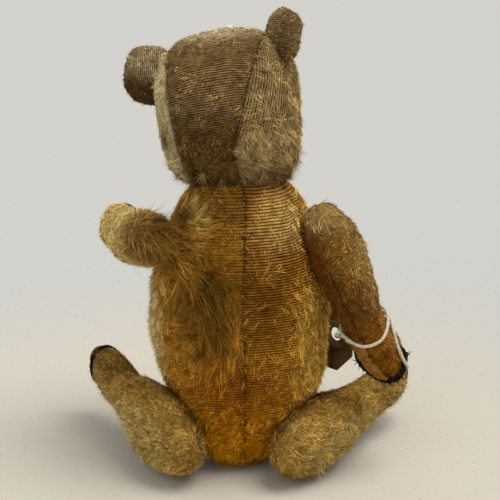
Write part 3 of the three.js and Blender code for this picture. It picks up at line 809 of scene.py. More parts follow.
def drop(skin, guesses, direction, proud=0.0):
    """The points on the side of a skin that faces a direction, nearest to the guesses' lines."""
    direction = unit(np.array(direction, float))
    normals = skin.normals()
    facing = np.flatnonzero(normals @ direction > 0.1)
    flat = skin.points[facing] - np.outer(skin.points[facing] @ direction, direction)
    found = []
    for guess in np.atleast_2d(guesses):
        aim = guess - (guess @ direction) * direction
        d = np.linalg.norm(flat - aim, axis=1)
        best = facing[np.argsort(d)[:3]]
        height = (skin.points[best] @ direction).mean()
        found.append(aim + direction * height + normals[best].mean(0) * proud)
    return np.array(found)


def dashes(path, on, off, radius, rng, wander=0.15):
    """A path cut into stitches, each a thread that dips at both ends."""
    run = run_along(path)
    strands = []
    start = 0.0
    while start + on < run[-1]:
        length = on * rng.uniform(0.75, 1.2)
        at = np.linspace(start, start + length, 5)
        line = points_at(path, run, at)
        line += rng.normal(size=(1, 3)) * wander
        strands.append((line, radius * np.array([0.6, 1, 1, 1, 0.6]) * rng.uniform(0.8, 1.2)))
        start += length + off * rng.uniform(0.6, 1.4)
    return strands


def tuft(root, direction, count, length, radius, rng, spread_by=0.35):
    """A little bundle of loose ends standing out from one place."""
    strands = []
    for _ in range(count):
        way = unit(np.array(direction, float) + rng.normal(size=3) * spread_by)
        sag = rng.normal(size=3) * 0.25 * length
        reach = length * rng.uniform(0.5, 1.1)
        t = np.linspace(0, 1, 6)[:, None]
        start = root + rng.normal(size=3) * radius
        line = start + way * reach * t + sag * t ** 2
        strands.append((line, radius * np.linspace(1, 0.5, 6)))
    return strands


# ----------------------------------------------------------------------- the body

def make_body():
    skin = Skin(BODY, 200, 150)
    p = skin.points
    skin.push(lumps(p, 22, 3) * 0.55 + lumps(p, 9, 4) * 0.28)
    p = skin.points
    back = smoothstep(0, 8, p[:, 1])
    seam = np.abs(p[:, 0] - BACK_SEAM)
    gather = 0.35 * np.sin(p[:, 2] * 2 * math.pi / 5.5) * np.exp(-(seam / 4) ** 2)
    skin.push((-0.6 * np.exp(-(seam / 1.1) ** 2) + gather) * back)
    for joint in ("neck_turn", "shoulder_left_swing", "shoulder_right_swing",
                  "hip_left_swing", "hip_right_swing"):
        centre, basis = joint_frame(joint)
        skin.flatten(centre - basis[:, 0] * FACE, basis[:, 0])
    skin.flatten((0, 0, 0), (0, 0, -1))
    return skin


def body_looks(skin):
    p = skin.points
    x, y, z = p.T
    n = len(p)
    left = smoothstep(-6, 4, x)
    back = smoothstep(-8, 8, y)
    fluffy = smoothstep(17, 33, -x) * smoothstep(105, 75, z)
    flank = np.maximum(smoothstep(30, 39, np.abs(x)), 0.85 * fluffy)
    low = smoothstep(58, 12, z)
    patchy = lumps(p, 9, 11)
    bald = np.clip(blob(p, (-13, 33, 92), (15, 30, 34)) + 0.8 * blob(p, (8, 30, 44), (17, 30, 22))
                   + 0.6 * blob(p, (-4, 30, 125), (24, 30, 12)), 0, 1) * back
    dye = plain(n, "#e0aa50")
    dye = tint(dye, "#7a4a10", 0.8 * blob(p, (13, 33, 90), (17, 30, 30)) * back)
    dye = tint(dye, "#966a2c", 0.8 * blob(p, (-13, 33, 92), (16, 30, 30)) * back)
    dye = tint(dye, "#9c560c", 0.75 * blob(p, (7, 30, 46), (17, 30, 20)) * back)
    dye = tint(dye, "#7a5424", 0.8 * blob(p, (8, 30, 124), (16, 30, 12)))
    dye = tint(dye, "#ffe4b0", 0.9 * blob(p, (-17, 26, 121), (15, 30, 16)))
    dye = tint(dye, "#fcae16", 0.9 * low)
    # The flanks are painted lighter: lighter pile, and partly a painted highlight on the lit edges.
    dye = tint(dye, "#ffcf78", 0.9 * flank * smoothstep(5, 30, z))
    dye = tint(dye, "#c9a460", 0.7 * smoothstep(5, -15, y))
    dye = tint(dye, "#b2521a", 0.9 * blob(p, (31, 18, 66), (3, 12, 3)))
    dye = dye * (1 + 0.13 * patchy + 0.08 * lumps(p, 4, 12))[:, None]
    seam = np.abs(x - BACK_SEAM)
    dye = soil(dye * (1 - 0.35 * np.exp(-(seam / 1.3) ** 2) * back)[:, None], SOILED_GOLD)
    bare = np.clip(0.95 - 0.5 * left * smoothstep(15, 60, z) - 0.45 * flank - 0.25 * low
                   + 0.15 * patchy, 0.12, 1)
    bare = np.clip(bare + 0.7 * bald, 0, 1) * (0.35 + 0.65 * back)
    nap = np.clip(0.6 + 0.7 * left + 1.4 * flank + 0.7 * low - 0.6 * bald + 0.35 * patchy,
                  0.12, 3) * np.where(y < -5, 1.1, 1)
    sweep = smoothstep(60, 100, z)[:, None]
    comb = np.array([-0.8, 0, -0.55]) * sweep + np.array([0.55, 0, -0.9]) * (1 - sweep)
    comb = comb * left[:, None] + np.array([0.25, 0, -1.0]) * (1 - left)[:, None]
    swirl = np.stack([lumps(p, 12, 21), lumps(p, 12, 22) * 0.4, lumps(p, 12, 23)], -1)
    locks = (2.2 * blob(p, (27, 22, 104), (12, 22, 16)) + 1.5 * blob(p, (14, 31, 84), (13, 20, 13))
             + 1.6 * blob(p, (8, 32, 62), (9, 20, 14)) + 0.6 * blob(p, (24, 28, 82), (12, 20, 20))
             + 1.5 * blob(p, (19, 22, 126), (10, 20, 9)) + 1.2 * blob(p, (-26, 18, 122), (9, 20, 9))
             + 0.5 * blob(p, (0, 25, 12), (24, 26, 9)) + 0.35 * flank + 0.5 * fluffy + 0.1
             + 0.3 * smoothstep(0, -15, y)) * (0.5 + 0.5 * np.clip(lumps(p, 6, 31) + 0.6, 0, 1.5))
    longest = 3.5 + 9 * blob(p, (27, 22, 104), (14, 26, 20)) + 8 * blob(p, (12, 31, 74), (14, 26, 24))
    hair = tint(dye * 1.4, "#6e5214", 0.85 * left * blob(p, (13, 31, 88), (18, 34, 32)))
    hair = tint(hair, "#ce8418", 0.7 * blob(p, (0, 30, 40), (26, 30, 26)))
    hair = tint(hair, "#f2d27c", 0.7 * blob(p, (22, 22, 124), (10, 24, 12)))
    # The flank hair is lighter pile and partly a painted highlight, most on the right flank, where the
    # arm shades it.
    hair = tint(hair, "#ffdc98", 0.9 * flank * (x > 0))
    hair = tint(hair, "#ffc658", 0.9 * flank * (x < 0))
    return dict(dye=dye, bare=bare, rows=z + 0.03 * x, columns=x + 0.2 * y, nap=nap,
                comb=comb + 0.7 * swirl, nap_lift=0.45 + 0.3 * flank,
                nap_length=1.5 + 1.1 * flank + 0.5 * low + 0.5 * left,
                lock=locks, lock_length=longest, lock_lift=0.22 + 0.2 * flank, pile_dye_and_painted_light=hair)


def add_body():
    skin = make_body()
    looks = body_looks(skin)
    cloth("body_cloth", "torso", skin, HERE, looks, GOLD_BACKING,
          ["body_cover_left", "body_cover_right"])
    fur("body", "torso", skin, HERE, looks, "body", 101)
    rng = np.random.default_rng(103)
    height = np.linspace(129, 88, 50)
    guess = np.stack([BACK_SEAM + 0.9 * np.sin(height / 11), height * 0 + 40, height], -1)
    path = drop(skin, guess, (0, 1, 0), 0.05)
    threads("body_seam_thread", "torso", dashes(path, 3.6, 0.6, 0.24, rng, 0.1), BROWN_THREAD)
    slits = [(47, 10), (33, 3), (28, 4), (18, 3), (108, 14), (68, 3)]
    gaps = []
    for middle, length in slits:
        z = np.linspace(middle + length / 2, middle - length / 2, 9)
        line = drop(skin, np.stack([z * 0 + BACK_SEAM - 0.4, z * 0 + 40, z], -1), (0, 1, 0), 0.1)
        gaps.append((line, 0.42 * np.sin(np.linspace(0.25, math.pi - 0.25, 9))))
    threads("body_seam_gaps", "torso", gaps, BROWN_THREAD)
    top = drop(skin, [[BACK_SEAM, 40, 127]], (0, 1, 0))[0]
    threads("body_seam_tuft", "torso", tuft(top, (0, 0.3, -1), 14, 2.4, 0.13, rng, 0.25),
            STRAW_YARN, 4)


# ----------------------------------------------------------------------- the head

def gusset_half(p):
    """Half the width of the strip that runs from the nose over the crown to the nape."""
    plan = GUSSET["nose"] + (GUSSET["crown"] - GUSSET["nose"]) * (p[..., 1] + 60) / 60
    plan = np.minimum(plan, GUSSET["crown"])
    back = GUSSET["nape"] + (GUSSET["crown"] + 3 - GUSSET["nape"]) * (p[..., 2] + 5) / 85
    return np.minimum(plan, back)


def beside_gusset(p):
    """How far points lie outside the strip, which has slewed to the left at the nape."""
    return np.abs(p[..., 0] - slew(p)) - gusset_half(p)


def slew(p):
    return GUSSET["slew"] * smoothstep(58, 10, p[..., 2]) * smoothstep(0, 12, p[..., 1])


def head_looks(skin):
    p = skin.points
    x, y, z = p.T
    n = len(p)
    beside = beside_gusset(p)
    strip = smoothstep(1, -1, beside)
    left = smoothstep(-1, 1, beside) * (x > 0)
    right = smoothstep(-1, 1, beside) * (x < 0)
    back = smoothstep(-12, 6, y)
    top = smoothstep(58, 66, z)
    nape = smoothstep(20, 8, z)
    patchy = lumps(p, 8, 41)
    bald = (strip + 0.5 * right) * smoothstep(16, 28, z) * (1 - top) * back
    dye = plain(n, "#c4aa78")
    dye = tint(dye, "#b39464", 0.9 * strip * back)
    dye = tint(dye, "#74501f", 0.85 * strip * smoothstep(38, 20, z) * back)
    dye = tint(dye, "#5c3a10", 0.85 * nape * strip * back)
    dye = tint(dye, "#ffecb8", 0.85 * left * smoothstep(-30, 0, y))
    dye = tint(dye, "#7d5c2c", 0.9 * left * blob(p, (25, 18, 24), (5, 14, 7)))
    dye = tint(dye, "#d6b982", 0.8 * right)
    dye = tint(dye, "#fff2d2", 0.95 * top)
    # Painted shade: the head is painted dark low at the back, where it overhangs the gap above the
    # body.
    dye = tint(dye, "#4a2c0a", 0.8 * smoothstep(9, 2, z) * back)
    dye = dye * (1 + 0.12 * patchy + 0.06 * lumps(p, 4, 42))[:, None]
    dye = soil(dye * (1 - 0.3 * np.exp(-(beside / 1.2) ** 2))[:, None], SOILED_TAUPE)
    bare = np.clip(0.4 + 0.6 * bald + 0.35 * right * back - 0.3 * left + 0.2 * patchy, 0.05, 1)
    nap = np.clip(0.9 - 0.75 * bald + 0.3 * top + 0.7 * nape - 0.5 * left - 0.25 * right
                  + 0.4 * patchy, 0.08, 3)
    around = np.arctan2(z - HEAD_MIDDLE, y - 2) * 34
    beyond = np.arctan2(-x, y + 6) * 32
    rows = np.where(strip > 0.5, around + 0.06 * x, 0.93 * beyond - 0.38 * z)
    columns = np.where(strip > 0.5, x, 0.93 * z + 0.38 * beyond)
    comb = np.stack([0.5 * np.sign(x) + 0 * x, 0.2 * np.sin(z / 7), -0.8 + 0 * z], -1)
    comb += 0.7 * np.stack([lumps(p, 10, 51), lumps(p, 10, 52) * 0.5, lumps(p, 10, 53)], -1)
    locks = (0.25 + 0.9 * nape + 0.8 * right * smoothstep(50, 20, z)
             + 0.8 * top * blob(p, (-8, 10, 62), (16, 26, 10))
             + 0.7 * left * smoothstep(30, 10, z) + 0.9 * blob(p, (-22, 12, 48), (9, 18, 10))
             + 0.5 * blob(p, (0, 30, 28), (18, 14, 12)))
    locks = locks * (0.35 + 0.65 * np.clip(lumps(p, 5, 54) + 0.5, 0, 1.5)) * (1 - 0.6 * bald)
    hair = tint(dye * 1.45, "#a8894f", 0.25 + 0.2 * right)
    return dict(dye=dye, bare=bare, rows=rows, columns=columns, nap=nap, comb=comb,
                nap_length=1.4 + 0.7 * nape + 0.6 * right, nap_lift=0.45 + 0 * z, lock=locks,
                lock_length=2.6 + 2.4 * nape + 1.2 * right, lock_lift=0.25 + 0 * z, pile_dye_and_painted_light=hair)


def ear_skin(name):
    """An ear in the head's frame, with where its points were on the flat."""
    skin = Skin(EAR_FORM, 96, 60)
    flat = skin.points.copy()
    skin.push(lumps(flat, 6, 61) * 0.25)
    p = skin.points
    p[:, 1] -= EAR["cup"] * p[:, 0] ** 2
    around = math.radians(EAR["from_top"][name])
    side = SIDES[name]
    p = p @ turn_z(EAR["turn"][name]).T @ turn_y(side * EAR["droop"][name]).T
    radius = EAR["radius"][name]
    skin.points = p + np.array([side * radius * math.sin(around), EAR["back"],
                                HEAD_MIDDLE + radius * math.cos(around)])
    return skin, flat


def add_ear(name):
    skin, flat = ear_skin(name)
    x, y, z = flat.T
    n = len(flat)
    rim = smoothstep(9, 14, np.hypot(x, z - 3))
    dye = plain(n, "#c4ab7c")
    if name == "left":
        dye = tint(dye, "#e8d4ac", 0.85 * smoothstep(3, -5, x))
        # Painted shade: one half of the left ear is painted dark brown, as the half in shadow.
        dye = tint(dye, "#6a4e2a", 0.9 * smoothstep(-3, 6, x))
    else:
        dye = tint(dye, "#87673a", 0.6 * smoothstep(4, -6, x))
    dye = tint(dye, "#b59a6c", 0.6 * rim * smoothstep(4, -2, x))
    dye = soil(dye * (1 + 0.12 * lumps(flat, 5, 62))[:, None], SOILED_TAUPE)
    fuzz = 0.6 + 0.9 * rim + 0.6 * np.clip(lumps(flat, 5, 63), 0, 1)
    looks = dict(dye=dye, bare=np.clip(0.9 - 0.4 * rim, 0, 1), rows=1.3 * (z + 0.25 * x), columns=x,
                 nap=fuzz, comb=np.tile([0, 0.1, 0.2], (n, 1)) + 0.4 * lumps(flat, 5, 64)[:, None],
                 nap_length=1.1 + 0.6 * rim, nap_lift=0.5 + 0 * x, pile_dye_and_painted_light=dye * 1.3)
    cloth(f"ear_{name}_cloth", "head", skin, HEAD_LEANT, looks, TAUPE_BACKING,
          [f"ear_{name}"])
    fur(f"ear_{name}", "head", skin, HEAD_LEANT, looks, "ear", 65)
    rng = np.random.default_rng(66)
    a = np.linspace(-0.6, 3.7, 60)
    rim_line = np.stack([13 * np.cos(a), 3 + 14 * np.sin(a)], -1)
    away = np.linalg.norm(flat[None][..., [0, 2]] - rim_line[:, None], axis=-1)
    stitches = dashes(skin.points[away.argmin(1)], 1.6, 0.8, 0.22, rng)
    threads(f"ear_{name}_edge", "head", placed(stitches, HEAD_LEANT), BROWN_THREAD, 5)


def turned(profile, sides):
    """Rings of points about +Z, from (radius, height) pairs."""
    a = np.linspace(0, 2 * math.pi, sides, endpoint=False)
    return np.array([[r * math.cos(b), r * math.sin(b), h] for r, h in profile for b in a])


def button(radius, dome, sides=48, rings=12):
    """A domed button, closed at the back, about +Z."""
    a = np.linspace(0, math.pi / 2, rings)
    profile = [(radius * math.cos(t), dome * math.sin(t)) for t in a[:-1]]
    profile = [(radius * 0.55, -1.2), (radius * 0.92, -0.7), (radius, -0.25)] + profile
    points = turned(profile, sides)
    top = len(points)
    ring = np.arange(sides)
    end = ring + top - sides
    points = np.vstack([points, [[0, 0, dome], [0, 0, -1.2]]])
    tris = np.vstack([np.stack([end, np.roll(end, -1), np.full(sides, top)], -1),
                      np.stack([np.roll(ring, -1), ring, np.full(sides, top + 1)], -1)])
    return points, ring_faces(len(profile), sides), tris


def add_face(skin):
    """A plain bear's face: boot-button eyes, a satin-stitched nose and a stitched mouth."""
    rng = np.random.default_rng(71)
    for name, side in SIDES.items():
        angle = math.radians(EYE["around"] if side > 0 else 180 - EYE["around"])
        at = on_form(HEAD, np.array([EYE["along"]]), np.array([angle]))[0]
        normal = unit(skin.normals()[np.argmin(np.linalg.norm(skin.points - at, axis=1))])
        across = unit(np.cross([0, 0, 1.0], normal))
        basis = np.stack([across, np.cross(normal, across), normal], 1)
        points, quads, tris = button(EYE["radius"], EYE["dome"])
        eye = piece(f"eye_{name}_button", "head", to_bear(points @ basis.T + at, HEAD_LEANT),
                    [quads, tris], BUTTON)
        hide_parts(f"eye_{name}")
    nose = []
    for x in np.linspace(-6.2, 6.2, 19):
        half = 4.6 * math.sqrt(max(1 - (x / 7.2) ** 2, 0.02))
        z = 26.5 + np.linspace(half, -half * 0.9, 7)
        guess = np.stack([z * 0 + x + rng.normal() * 0.1, z * 0 - 60, z], -1)
        line = drop(skin, guess, (0, -1, 0.25), 0.55)
        nose.append((to_bear(line, HEAD_LEANT), 0.42))
    made = threads("nose_satin_stitch", "head", nose, BLACK_WOOL)
    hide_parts("nose_stitching")
    centre = np.stack([np.zeros(8), np.full(8, -60.0), np.linspace(22, 16, 8)], -1)
    lip = np.linspace(-1, 1, 15)
    smile = np.stack([lip * 6.5, lip * 0 - 60, 16 - 2.6 * np.abs(lip) ** 1.5], -1)
    mouth = [(to_bear(drop(skin, line, (0, -1, 0), 0.4), HEAD_LEANT), 0.5)
             for line in (centre, smile)]
    made = threads("mouth_stitch", "head", mouth, BLACK_WOOL)
    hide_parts("mouth_stitching")


def add_head():
    skin = Skin(HEAD, 180, 140)
    p = skin.points
    skin.push(lumps(p, 20, 43) * 0.5 + lumps(p, 8, 44) * 0.22)
    p = skin.points
    beside = beside_gusset(p)
    skin.push(-0.55 * np.exp(-(beside / 1.0) ** 2) * (p[:, 2] > 4))
    p = skin.points
    tuck = 0.18 * smoothstep(14, -2, p[:, 2]) ** 1.5 * smoothstep(4, 24, p[:, 1])
    p[:, 1] -= tuck * (p[:, 1] - 4)
    p[:, 0] *= 1 - tuck
    lean = turn_y(HEAD_LEAN)
    skin.flatten((0, 0, FACE) @ lean, np.array([0, 0, -1.0]) @ lean)
    looks = head_looks(skin)
    cloth("head_cloth", "head", skin, HEAD_LEANT, looks, TAUPE_BACKING,
          ["head_gusset", "head_side_left", "head_side_right"])
    fur("head", "head", skin, HEAD_LEANT, looks, "head", 111)
    for name in SIDES:
        add_ear(name)
    add_face(skin)
    rng = np.random.default_rng(113)
    for name, side in SIDES.items():
        z = np.linspace(60, 30, 45) if name == "right" else np.linspace(24, 6, 20)
        guess = np.stack([z * 0, z * 0 + 30, z], -1)
        guess[:, 0] = slew(guess) + side * gusset_half(guess)
        path = drop(skin, guess, (0, 1, 0), 0.05)
        strands = dashes(path, 1.5, 0.9, 0.2, rng, 0.1)
        threads(f"head_seam_{name}", "head", placed(strands, HEAD_LEANT), BROWN_THREAD, 5)
    ends = []
    for x, z, count in NAPE_TUFTS:
        root = drop(skin, [[x, 60, z]], (0, 1, 0))[0]
        ends += tuft(root, (0.1, 0.5, -1), count, 5.0, 0.13, rng, 0.5)
    threads("nape_tuft", "head", placed(ends, HEAD_LEANT), STRAW_YARN, 4)


# ---------------------------------------------------------------------- the limbs

def limb_form(limb):
    part, name = limb.split("_")
    form = dict(arm=ARM, leg=LEG)[part]
    return form if name == "left" else mirrored(form)


def press_face(skin):
    """Presses a limb flat where it meets the body."""
    skin.flatten((FACE, 0, 0), (-1, 0, 0))


def arm_looks(skin, name, place):
    p = skin.points
    x, y, z = p.T
    n = len(p)
    patchy = lumps(p, 8, 71)
    top = smoothstep(0, 14, z)
    paw = smoothstep(-34, -50, z)
    if name == "right":
        dye = plain(n, "#a98348")
        dye = tint(dye, "#cbb48a", 0.85 * top)
        # Painted shade: a dark crease under the shoulder, between the arm and the body.
        under = smoothstep(8, -4, z) * smoothstep(-30, -14, z) * smoothstep(14, 4, x)
        dye = tint(dye, "#845416", 0.75 * under)
        dye = tint(dye, "#85592a", 0.6 * smoothstep(-10, -20, z) * (1 - paw))
        # Painted shade: the creases of the slumped folds are painted darker.
        dye = dye * (1 - 0.55 * np.clip(slumped(p), 0, 1))[:, None]
        dye = tint(dye, "#bc7c24", 0.8 * paw)
        # Partly a painted highlight: the outer edge is painted lighter, where it also keeps more pile.
        dye = tint(dye, "#c8ae7c", 0.75 * smoothstep(17, 22, x))
        bare = np.clip(0.9 - 0.6 * top * blob(p, (12, 0, 12), (16, 20, 10)) + 0.15 * patchy, 0.1, 1)
        nap = np.clip(0.35 + 1.2 * top + 1.0 * smoothstep(15, 21, x) + 0.3 * patchy, 0.1, 3)
        rows = -0.7 * x + z
    else:
        dye = plain(n, "#ffe4ac")
        dye = tint(dye, "#8d6a3c", 0.65 * blob(p, (10, 8, -20), (12, 20, 14)))
        dye = tint(dye, "#7c5216", 0.9 * smoothstep(-8, 6, z))
        dye = tint(dye, "#c2ab7c", 0.6 * smoothstep(12, 18, x))
        # Painted shade: the lower inner side, towards the body, is painted darker.
        dye = tint(dye, "#6d4c20", 0.6 * smoothstep(6, 1, x) * smoothstep(-30, -50, z))
        bare = np.clip(0.4 + 0.3 * patchy, 0.05, 1)
        nap = np.clip(1.0 + 0.3 * patchy, 0.2, 3)
        rows = z + 0.15 * x
    dye = soil(dye * (1 + 0.12 * patchy + 0.07 * lumps(p, 4, 72))[:, None], SOILED_LIMB)
    comb = np.stack([0.2 + 0 * x, 0 * x, -1 + 0 * x], -1)
    comb += 0.5 * np.stack([lumps(p, 9, 73), lumps(p, 9, 74), lumps(p, 9, 75)], -1)
    locks = (0.35 + 1.2 * top + 0.6 * smoothstep(12, 19, x))
    longest = 2.4 + 1.4 * top
    if name == "left":
        # Long hair is left over the shoulder, lying towards the body.
        over = smoothstep(-2, 10, z)[:, None]
        comb = comb * (1 - over) + over * (place[1].T @ np.array([-0.8, 0.3, -0.55]))
        locks = locks + 3.0 * over[:, 0]
        longest = longest + 5.0 * over[:, 0]
    locks = locks * (0.5 + 0.5 * np.clip(lumps(p, 5, 76) + 0.5, 0, 1.5))
    hair = tint(dye * 1.5, "#ad9055", 0.2 + 0 * x)
    if name == "left":
        hair = tint(hair * 1.25, "#8a6012", 0.7 * over[:, 0])
    return dict(dye=dye, bare=bare, rows=rows, columns=y, nap=nap, comb=comb,
                nap_length=1.3 + 0.5 * smoothstep(10, 18, x), nap_lift=0.45 + 0 * x,
                lock=locks, lock_length=longest, lock_lift=0.3 + 0 * x, pile_dye_and_painted_light=hair)


def slumped(p):
    """Folds where old straw has slumped: under the shoulder, at the elbow and at the wrist."""
    x, _, z = p.T
    return (np.sin((z - 0.55 * x + 4) / 2.0) * blob(p, (10, 6, 2), (14, 16, 12))
            + 0.6 * np.sin((z + 0.7 * x) / 2.2) * blob(p, (12, 4, -24), (12, 14, 7))
            + 0.6 * np.sin((z + 0.5 * x) / 2.2) * blob(p, (8, 4, -44), (12, 14, 8)))


def add_arm(name):
    limb = f"arm_{name}"
    side = SIDES[name]
    form = limb_form(limb)
    place = limb_place(limb)
    skin = Skin(form, 120, 110)
    p = skin.points
    skin.push(lumps(p, 14, 77) * 0.45 + lumps(p, 5, 78) * 0.16)
    if name == "right":
        skin.push(-0.9 * slumped(skin.points))
    beside = np.abs(np.abs(skin.angle - math.pi) - math.pi / 2) * 12
    skin.push(-0.4 * np.exp(-(beside / 0.9) ** 2))
    press_face(skin)
    looks = arm_looks(skin, name, place)
    cloth(f"{limb}_cloth", limb, skin, place, looks, LINEN_BACKING,
          [f"{limb}_inner", f"{limb}_outer"])
    fur(limb, limb, skin, place, looks, limb, 131)
    pad = Cap(form, (0, 0, PAW_PAD["start"]), (0, side * PAW_PAD["slope"], -1), 0.45, 110, 50)
    pad.push(0.12 * lumps(pad.points, 4, 79))
    pad.flatten((form["across"], 0, 0), (1, 0, 0))
    press_face(pad)
    made = piece(f"{limb}_felt_pad", limb, to_bear(pad.points, place), [pad.quads, pad.tris],
                 PAD_FELT)
    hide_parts(f"{limb}_paw_pad")
    return form, place


def seam_line(form, degrees, start, stop, count, proud=0.0):
    """A line along a limb at one angle round it, from one station to another."""
    s = np.linspace(start, stop, count)
    return on_form(form, s, np.full(count, math.radians(degrees)), proud)


def blanket_stitches(form, degrees, start, stop, count, reach, rng):
    """Overlapping stitches that hold a patch's edge: a running edge with a bar at each stitch."""
    strands = []
    bar_proud = 0.45 + 0.25 * np.sin(np.linspace(0, math.pi, 6)).mean()
    edge = seam_line(form, degrees, start, stop, count * 3, 0.55)
    edge += rng.normal(size=edge.shape) * 0.1
    strands.append((edge, 0.36))
    for s in np.linspace(start, stop, count):
        s = s + rng.normal() * 0.004
        turns = np.linspace(0, reach, 6) * rng.uniform(0.7, 1.2)
        angle = np.radians(degrees + turns)
        line = on_form(form, np.clip(s - turns * 0.0006, 0, 0.999), angle, bar_proud)
        strands.append((line, 0.34 * np.array([0.7, 1, 1, 1, 1, 0.6])))
    return strands


def add_arm_sewing(name, form, place):
    rng = np.random.default_rng(141 if name == "right" else 142)
    limb = f"arm_{name}"
    if name == "right":
        seams = dashes(seam_line(form, 90, 0.28, 0.80, 80, 0.3), 2.2, 1.0, 0.34, rng, 0.12)
        threads(f"{limb}_seam", limb, placed(seams, place), BROWN_THREAD, 5)
        degrees = np.concatenate([np.linspace(138, 150, 16), np.linspace(150, -5, 60), np.full(10, -5)])
        hem = 0.90 + 0.065 * np.sin(np.radians(degrees))
        hem[:16] = np.linspace(0.74, 0.93, 16)
        hem[-10:] = np.linspace(0.894, 0.84, 10)
        edge = on_form(form, hem, np.radians(degrees), 0.6) + rng.normal(size=(86, 3)) * 0.12
        edge[:, 0] = np.maximum(edge[:, 0], FACE + 0.6)
        strands = [(edge, 0.9)]
        for k in range(1, 85, 3):
            turn = np.radians(np.full(5, degrees[k] + rng.normal() * 2))
            bar = on_form(form, np.linspace(hem[k] - 0.035, hem[k] + 0.02, 5), turn, 0.6)
            strands.append((bar + rng.normal(size=(1, 3)) * 0.25, 0.5))
        for k in (2, 7, 13, 19, 27, 36, 47, 58, 68, 75, 82):
            strands += tuft(edge[k], place[1].T @ np.array([0, 0.8, -0.3]), 9, 2.8, 0.26, rng, 0.8)
        strands += tuft(edge[4], place[1].T @ np.array([0.6, 0.6, -0.5]), 3, 5.0, 0.26, rng, 0.4)
        threads(f"{limb}_blanket_stitch", limb, placed(strands, place), BLACK_WOOL)
        cross = []
        for way in (1, -1):
            ends = on_form(form, np.array([0.875 - 0.01 * way, 0.875 + 0.01 * way]),
                           np.radians([86.0, 74.0]), 0.7)
            middle = ends.mean(0) + unit(ends[0] - [0, 0, -60]) * 0.3
            cross.append((arc_line(np.vstack([ends[0], middle, ends[1]]), 8), 0.3))
        threads(f"{limb}_cross_stitch", limb, placed(cross, place), BROWN_THREAD)
        return
    seams = dashes(seam_line(form, 90, 0.15, 0.75, 80, 0.02), 1.8, 1.4, 0.17, rng, 0.12)
    seams += dashes(seam_line(form, -90, 0.15, 0.7, 80, 0.02), 1.8, 1.4, 0.17, rng, 0.12)
    threads(f"{limb}_seam", limb, placed(seams, place), BROWN_THREAD, 5)
    strands = blanket_stitches(form, 88, 0.84, 0.93, 4, 22, rng)
    strands += blanket_stitches(form, -88, 0.84, 0.93, 4, -22, rng)
    threads(f"{limb}_stitch_remains", limb, placed(strands, place), BLACK_WOOL)


def leg_looks(skin, name):
    p = skin.points
    x, y, z = p.T
    n = len(p)
    patchy = lumps(p, 9, 81)
    inner = smoothstep(8, 2, x)
    outer = smoothstep(16, 23, x)
    foot = smoothstep(-38, -58, z)
    dye = plain(n, "#cfaa62")
    dye = tint(dye, "#b5822a", 0.55 * blob(p, (10, 0, -10), (14, 30, 20)))
    # Painted shade: the inner side of the leg, against the body, is painted dark.
    dye = tint(dye, "#6d400f", 0.85 * inner)
    dye = tint(dye, "#8f6b34" if name == "left" else "#a68a5a", 0.75 * foot)
    dye = tint(dye, "#f0d595", 0.7 * outer)
    dye = soil(dye * (1 + 0.14 * patchy + 0.08 * lumps(p, 4, 82))[:, None], SOILED_LIMB)
    bare = np.clip(0.35 + 0.3 * inner - 0.3 * outer + 0.25 * patchy, 0.05, 0.8)
    nap = np.clip(1.0 - 0.5 * inner + 0.9 * outer + 0.4 * patchy, 0.15, 3)
    comb = np.stack([0.5 + 0 * x, 0 * x, -0.8 + 0 * x], -1)
    comb += 0.6 * np.stack([lumps(p, 9, 83), lumps(p, 9, 84), lumps(p, 9, 85)], -1)
    locks = ((0.4 + 1.2 * outer + 0.6 * smoothstep(10, 22, z))
             * (0.5 + 0.5 * np.clip(lumps(p, 6, 86) + 0.5, 0, 1.5)))
    return dict(dye=dye, bare=bare, rows=z + 0.2 * x, columns=x + y, nap=nap, comb=comb,
                nap_length=1.6 + 0.7 * outer, nap_lift=0.5 + 0.1 * outer, lock=locks,
                lock_length=3.0 + 1.6 * outer, lock_lift=0.3 + 0.1 * outer,
                pile_dye_and_painted_light=tint(dye * 1.4, "#b59a5c", 0.25 + 0.25 * outer))


